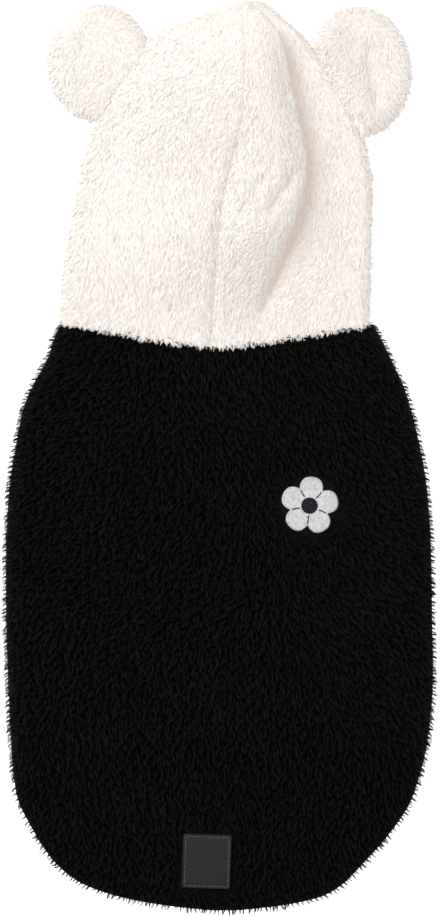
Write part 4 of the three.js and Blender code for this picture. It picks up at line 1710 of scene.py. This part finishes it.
@dataclass
class Flower:
    """The embroidered flower: five padded petals in white satin stitch and a dark centre."""

    x: float = 63.0
    y: float = -33.0
    radius: float = 20.0
    petals: int = 5
    notch: float = 0.34
    turn: float = 84.0
    pad: float = 0.75
    centre: float = 5.5
    thread: float = 0.33  # radius of the petals' thread, and so on for the others
    rim_thread: float = 0.36
    vein_thread: float = 0.3
    knot_thread: float = 0.52
    sides: int = 5
    stitch_rise: tuple[float, float] = (0.42, 0.34)  # of the outer and the inner stitches
    overlap: float = 1.4  # how far the inner stitches reach between the outer ones
    stitches: int = 216
    rim_stitches: int = 190
    dashes: int = 4  # stitches along each side of a vein
    rings: tuple[tuple[float, int], ...] = ((0.0, 1), (1.7, 6), (3.4, 12), (4.9, 18))
    seed: int = 31

    @classmethod
    def away(cls, x: Array, y: Array) -> Array:
        """The distance from the flower's centre."""
        return np.hypot(x - cls.x, y - cls.y)

    def reach(self, angle: Array) -> Array:
        """The petals' outline as a radius."""
        petal = np.abs(np.cos(self.petals * (angle - math.radians(self.turn)) / 2))
        return self.radius * (1 - self.notch * (1 - petal) ** 1.5)

    def spot(self, angle: Array, radius: Array, above: Array) -> Array:
        """A point on the flower, above the cloth that it is sewn to."""
        x, y = self.x + radius * np.cos(angle), self.y + radius * np.sin(angle)
        return np.column_stack([x, y, sewn_level(x, y) + above])

    def angles(self, count: int) -> Array:
        """Angles at even steps once round."""
        return np.arange(count) / count * 2 * math.pi

    def arch(
        self, angle: float, r0: float, r1: float, low: float, rise: float, lean: float = 0.0
    ) -> Array:
        """A stitch from one radius to another that stands up in the middle.

        Args:
            angle: where the stitch's middle is, round the flower.
            r0: the radius at which it starts.
            r1: the radius at which it ends.
            low: how far its ends are above the cloth.
            rise: how far its middle is above its ends.
            lean: how far it turns from its start to its end, in radians.

        Returns:
            The stitch's points.
        """
        share = np.linspace(0, 1, 6)
        radius = mix(r0, r1, share)
        above = low + rise * np.sin(share * math.pi) ** 0.6
        return self.spot(angle + lean * (share - 0.5), radius, above)

    def build(self, planter: Planter, threads: ThreadTree) -> None:
        """Makes the padding, the petals, their rim and the centre."""
        angle = self.angles(160)
        reach = self.reach(angle) - 0.5
        outline = np.column_stack([self.x + reach * np.cos(angle), self.y + reach * np.sin(angle)])
        target = np.broadcast_to(np.array([self.x, self.y]), outline.shape)

        def heights(x: Array, y: Array, depth: Array) -> tuple[Array, Array]:
            """The lowest and highest z of the padding."""
            base = sewn_level(x, y)
            return base, base + self.pad * round_edge((depth + 0.3) / 1.2)

        top, bottom = ((0.5, 1.4), (0.35, 0.7)), ((0.5,), (0.5,))
        shell = ring_shell(outline, target, 0.0, top, bottom, heights)
        pad = new_object("flower_pad", shell.points, shell.faces)
        white, navy = planter.material(WHITE_THREAD), planter.material(NAVY_THREAD)
        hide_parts("badge")
        dress(pad, white)

        draw = np.random.default_rng(self.seed)
        long_and_short, rim = [], []
        outer_rise, inner_rise = self.stitch_rise
        for a in self.angles(self.stitches):
            edge = float(self.reach(np.array(a)))
            split = edge * draw.uniform(0.5, 0.62)
            lean = draw.normal(0, 0.01)
            long_and_short += [
                self.arch(a, edge - 0.8, split, self.pad, outer_rise, lean),
                self.arch(
                    a + 0.012, split + self.overlap, self.centre - 0.6, self.pad, inner_rise, lean
                ),
            ]
        for a in self.angles(self.rim_stitches):
            edge = float(self.reach(np.array(a)))
            rim.append(self.arch(a, edge + 0.1, edge - 2.1, 0.25, 0.85, draw.normal(0, 0.008)))
        petals = threads.lay("flower_petals", long_and_short, self.thread, self.sides, white)
        dress(petals)
        dress(threads.lay("flower_rim", rim, self.rim_thread, self.sides, white))

        veins = []
        for k in range(self.petals):
            a = math.radians(self.turn + 36 + 72 * k)
            edge = float(self.reach(np.array(a)))
            for step in range(self.dashes):
                r0 = mix(self.centre + 1.6, edge - 0.6, step / self.dashes)
                r1 = mix(self.centre + 1.6, edge - 0.6, (step + 0.86) / self.dashes)
                for shift in (-0.035, 0.035):
                    veins.append(self.arch(a + shift * 7 / r1, r0, r1, self.pad + 0.38, 0.28))
        made = threads.lay("flower_veins", veins, self.vein_thread, self.sides, navy)
        dress(made)

        knots = []
        loop = np.linspace(0, 2 * math.pi, 9)[:-1]
        for ring_number, (radius, count) in enumerate(self.rings):
            for k in range(count):
                middle = 2 * math.pi * k / count + 0.4 * ring_number
                x = self.x + radius * math.cos(middle) + 0.55 * np.cos(loop)
                y = self.y + radius * math.sin(middle) + 0.55 * np.sin(loop)
                high = 0.55 + 0.35 * math.cos(radius / 5.5 * math.pi / 2)
                z = sewn_level(x, y) + self.pad + high
                ring_line = np.column_stack([x, y, z])
                knots.append(np.vstack([ring_line, ring_line[:1] + [0.0, 0.0, 0.02]]))
        centre = threads.lay("flower_centre", knots, self.knot_thread, self.sides + 1, navy)
        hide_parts("badge_centre")
        dress(centre)


@dataclass
class Label:
    """The bare leather label, sewn on near the hem with one row of stitches."""

    x: float = -9.0
    y: float = -282.5
    width: float = 34.0
    length: float = 38.0
    tilt: float = math.radians(-2.0)
    corner: float = 1.6
    thick: float = 1.4
    sewn: float = 1.8  # how far in from the edge the stitches run
    stitch: float = 2.5
    space: float = 0.9
    thread: float = 0.3
    sides: int = 6

    @classmethod
    def room(cls, x: Array, y: Array) -> Array:
        """The distance in from the label's edge, and less than 0 outside it."""
        dx, dy = x - cls.x, y - cls.y
        across = dx * math.cos(cls.tilt) + dy * math.sin(cls.tilt)
        up = dy * math.cos(cls.tilt) - dx * math.sin(cls.tilt)
        return np.minimum(cls.width / 2 - np.abs(across), cls.length / 2 - np.abs(up))

    def path(self, inset: float, each: int) -> Array:
        """A rectangle with round corners at a distance in from the edge, anticlockwise."""
        corner = max(self.corner - inset, 0.5)
        parts = []
        for sx, sy, start in ((1, -1, -90), (1, 1, 0), (-1, 1, 90), (-1, -1, 180)):
            a = np.radians(start + np.linspace(0, 90, each))
            x = sx * (self.width / 2 - inset - corner) + corner * np.cos(a)
            y = sy * (self.length / 2 - inset - corner) + corner * np.sin(a)
            parts.append(np.column_stack([x, y]))
        flat = np.vstack(parts)
        sides = [np.linspace(p, q, 9)[:-1] for p, q in zip(flat, np.roll(flat, -1, 0))]
        flat = np.vstack([side if np.ptp(side, 0).max() > 4 else side[:1] for side in sides])
        x, y = flat.T
        c, s = math.cos(self.tilt), math.sin(self.tilt)
        return np.column_stack([self.x + x * c - y * s, self.y + x * s + y * c])

    def top(self, x: Array, y: Array) -> Array:
        """The height of the label's face."""
        from_stitches = self.room(x, y) - self.sewn
        groove = 0.4 * np.exp(-((from_stitches / 0.5) ** 2))
        swell = 0.25 * smooth(from_stitches / 6)
        return sewn_level(x, y) + self.thick - groove + swell

    def build(self, planter: Planter, threads: ThreadTree) -> None:
        """Makes the label and its stitches."""
        outline = self.path(0.0, 8)
        c, s = math.cos(self.tilt), math.sin(self.tilt)
        reach = (self.length - self.width) / 2
        up = np.clip((outline - [self.x, self.y]) @ [-s, c], -reach, reach)
        target = np.column_stack([self.x - up * s, self.y + up * c])

        def heights(x: Array, y: Array, depth: Array) -> tuple[Array, Array]:
            """The lowest and highest z of the leather, whose edges are round."""
            low = sewn_level(x, y) + 0.15 * (1 - round_edge(depth / 0.5))
            return low, self.top(x, y) - 0.8 * (1 - round_edge((depth + 0.1) / 0.9))

        insets = (0.15, 0.4, 0.8, 1.2, 1.5, 1.8, 2.1, 2.4, 2.8, 3.3, 4.2)
        top, bottom = (insets, (0.2, 0.4, 0.6, 0.8)), ((0.4,), (0.5,))
        shell = ring_shell(outline, target, 0.0, top, bottom, heights)
        piece = new_object("label_leather", shell.points, shell.faces)
        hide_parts("leather_label")
        dress(piece, planter.material(DARK_LEATHER))

        way = self.path(self.sewn, 8)
        way = np.vstack([way, way[:1]])
        travelled = np.concatenate([[0], np.cumsum(np.hypot(*np.diff(way, axis=0).T))])
        count = round(travelled[-1] / (self.stitch + self.space))
        step = travelled[-1] / count
        share = np.linspace(0, 1, 5)
        rise = 0.4 * np.sin(share * math.pi) ** 0.5
        lines = []
        for k in range(count):
            at = k * step + share * self.stitch
            x, y = (np.interp(at, travelled, part) for part in way.T)
            lines.append(np.column_stack([x, y, self.top(x, y) - 0.12 + rise]))
        grey = planter.material(GREY_THREAD)
        made = threads.lay("label_stitches", lines, self.thread, self.sides, grey)
        dress(made)


# The studio


@dataclass
class Studio:
    """The floor, the lights and the camera, straight above the garment as in the photo."""

    seen_height: float = 0.6412  # what the picture's height covers, in metres
    distance: float = 4.0
    centre: tuple[float, float] = (0.00044, -0.00015)
    top_level: float = 0.012
    sensor: float = 36.0
    floor_half: float = 3.0
    floor_colour: str = "#f7f7f7"
    lamps: tuple[tuple[str, tuple[float, float, float], float, float], ...] = (
        ("key", (-1.3, 1.0, 1.9), 1.8, 49.5),
        ("fill", (1.4, -1.0, 2.0), 2.0, 10.0),
    )  # each lamp's name, place, size in metres and power in watts
    lamp_colour: tuple[float, float, float] = (0.955, 0.985, 1.0)
    air_colour: Colour = (1.0, 0.96, 0.93, 1.0)
    air_strength: float = 0.46

    def camera(self) -> None:
        """Makes the camera."""
        lens = bpy.data.cameras.new("camera")
        lens.sensor_width = self.sensor
        lens.lens = self.sensor * self.distance / self.seen_height
        lens.clip_end = 30.0
        camera = placed("camera", lens)
        camera.location = (*self.centre, self.top_level + self.distance)
        bpy.context.scene.camera = camera

    def floor(self) -> None:
        """Makes the pale floor."""
        half = self.floor_half
        corners = [(x * half, y * half, 0) for x, y in ((-1, -1), (1, -1), (1, 1), (-1, 1))]
        mesh = bpy.data.meshes.new("floor")
        mesh.from_pydata(corners, [], [(0, 1, 2, 3)])
        floor = placed("floor", mesh)
        paint = Paint("Floor")
        tint = paint.noise(3.0, 2.0) * 0.01 + 0.985
        colour = paint.shade(paint.blend(0.0, self.floor_colour, self.floor_colour), tint)
        inputs = {"Base Color": colour, "Roughness": 0.95, "Specular IOR Level": 0.0}
        mesh.materials.append(paint.principled(inputs, ("#ffffff", 1.0)))
        floor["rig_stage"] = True

    def light(
        self, name: str, place: tuple[float, float, float], size: float, watts: float
    ) -> None:
        """Makes a square soft light that looks at the garment."""
        lamp = bpy.data.lights.new(name, "AREA")
        lamp.size, lamp.energy, lamp.color = size, watts, self.lamp_colour
        made = placed(name, lamp)
        made.location = place
        made.rotation_euler = (-Vector(place)).to_track_quat("-Z", "Y").to_euler()

    def build(self) -> None:
        """Makes the whole studio."""
        self.camera()
        self.floor()
        for lamp in self.lamps:
            self.light(*lamp)
        world = bpy.data.worlds.new("studio")
        world.use_nodes = True
        background = world.node_tree.nodes["Background"]
        background.inputs["Color"].default_value = self.air_colour
        background.inputs["Strength"].default_value = self.air_strength
        bpy.context.scene.world = world
        bpy.context.scene.view_settings.view_transform = "Standard"


def report(planter: Planter) -> None:
    planter.clear()
    total = 0
    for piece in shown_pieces():
        if piece.get("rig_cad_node") is None and piece.type == "MESH":
            count = sum(len(face.vertices) - 2 for face in piece.data.polygons)
            log.info("%s: %d triangles", piece.name, count)
            total += count
    log.info("in all: %d triangles", total)


def main() -> None:
    """Builds the studio and the hoodie, piece by piece."""
    logging.basicConfig(level=logging.INFO, format="%(name)s: %(message)s")
    Studio().build()
    planter = Planter()
    threads = ThreadTree()
    hood = Hood()
    body = Body()
    body.belly(planter)
    body.back(planter)
    hood.build(planter)
    for ear in EARS:
        ear.build(planter, hood)
    Flower().build(planter, threads)
    Label().build(planter, threads)
    report(planter)


if __name__ == "__main__":
    main()
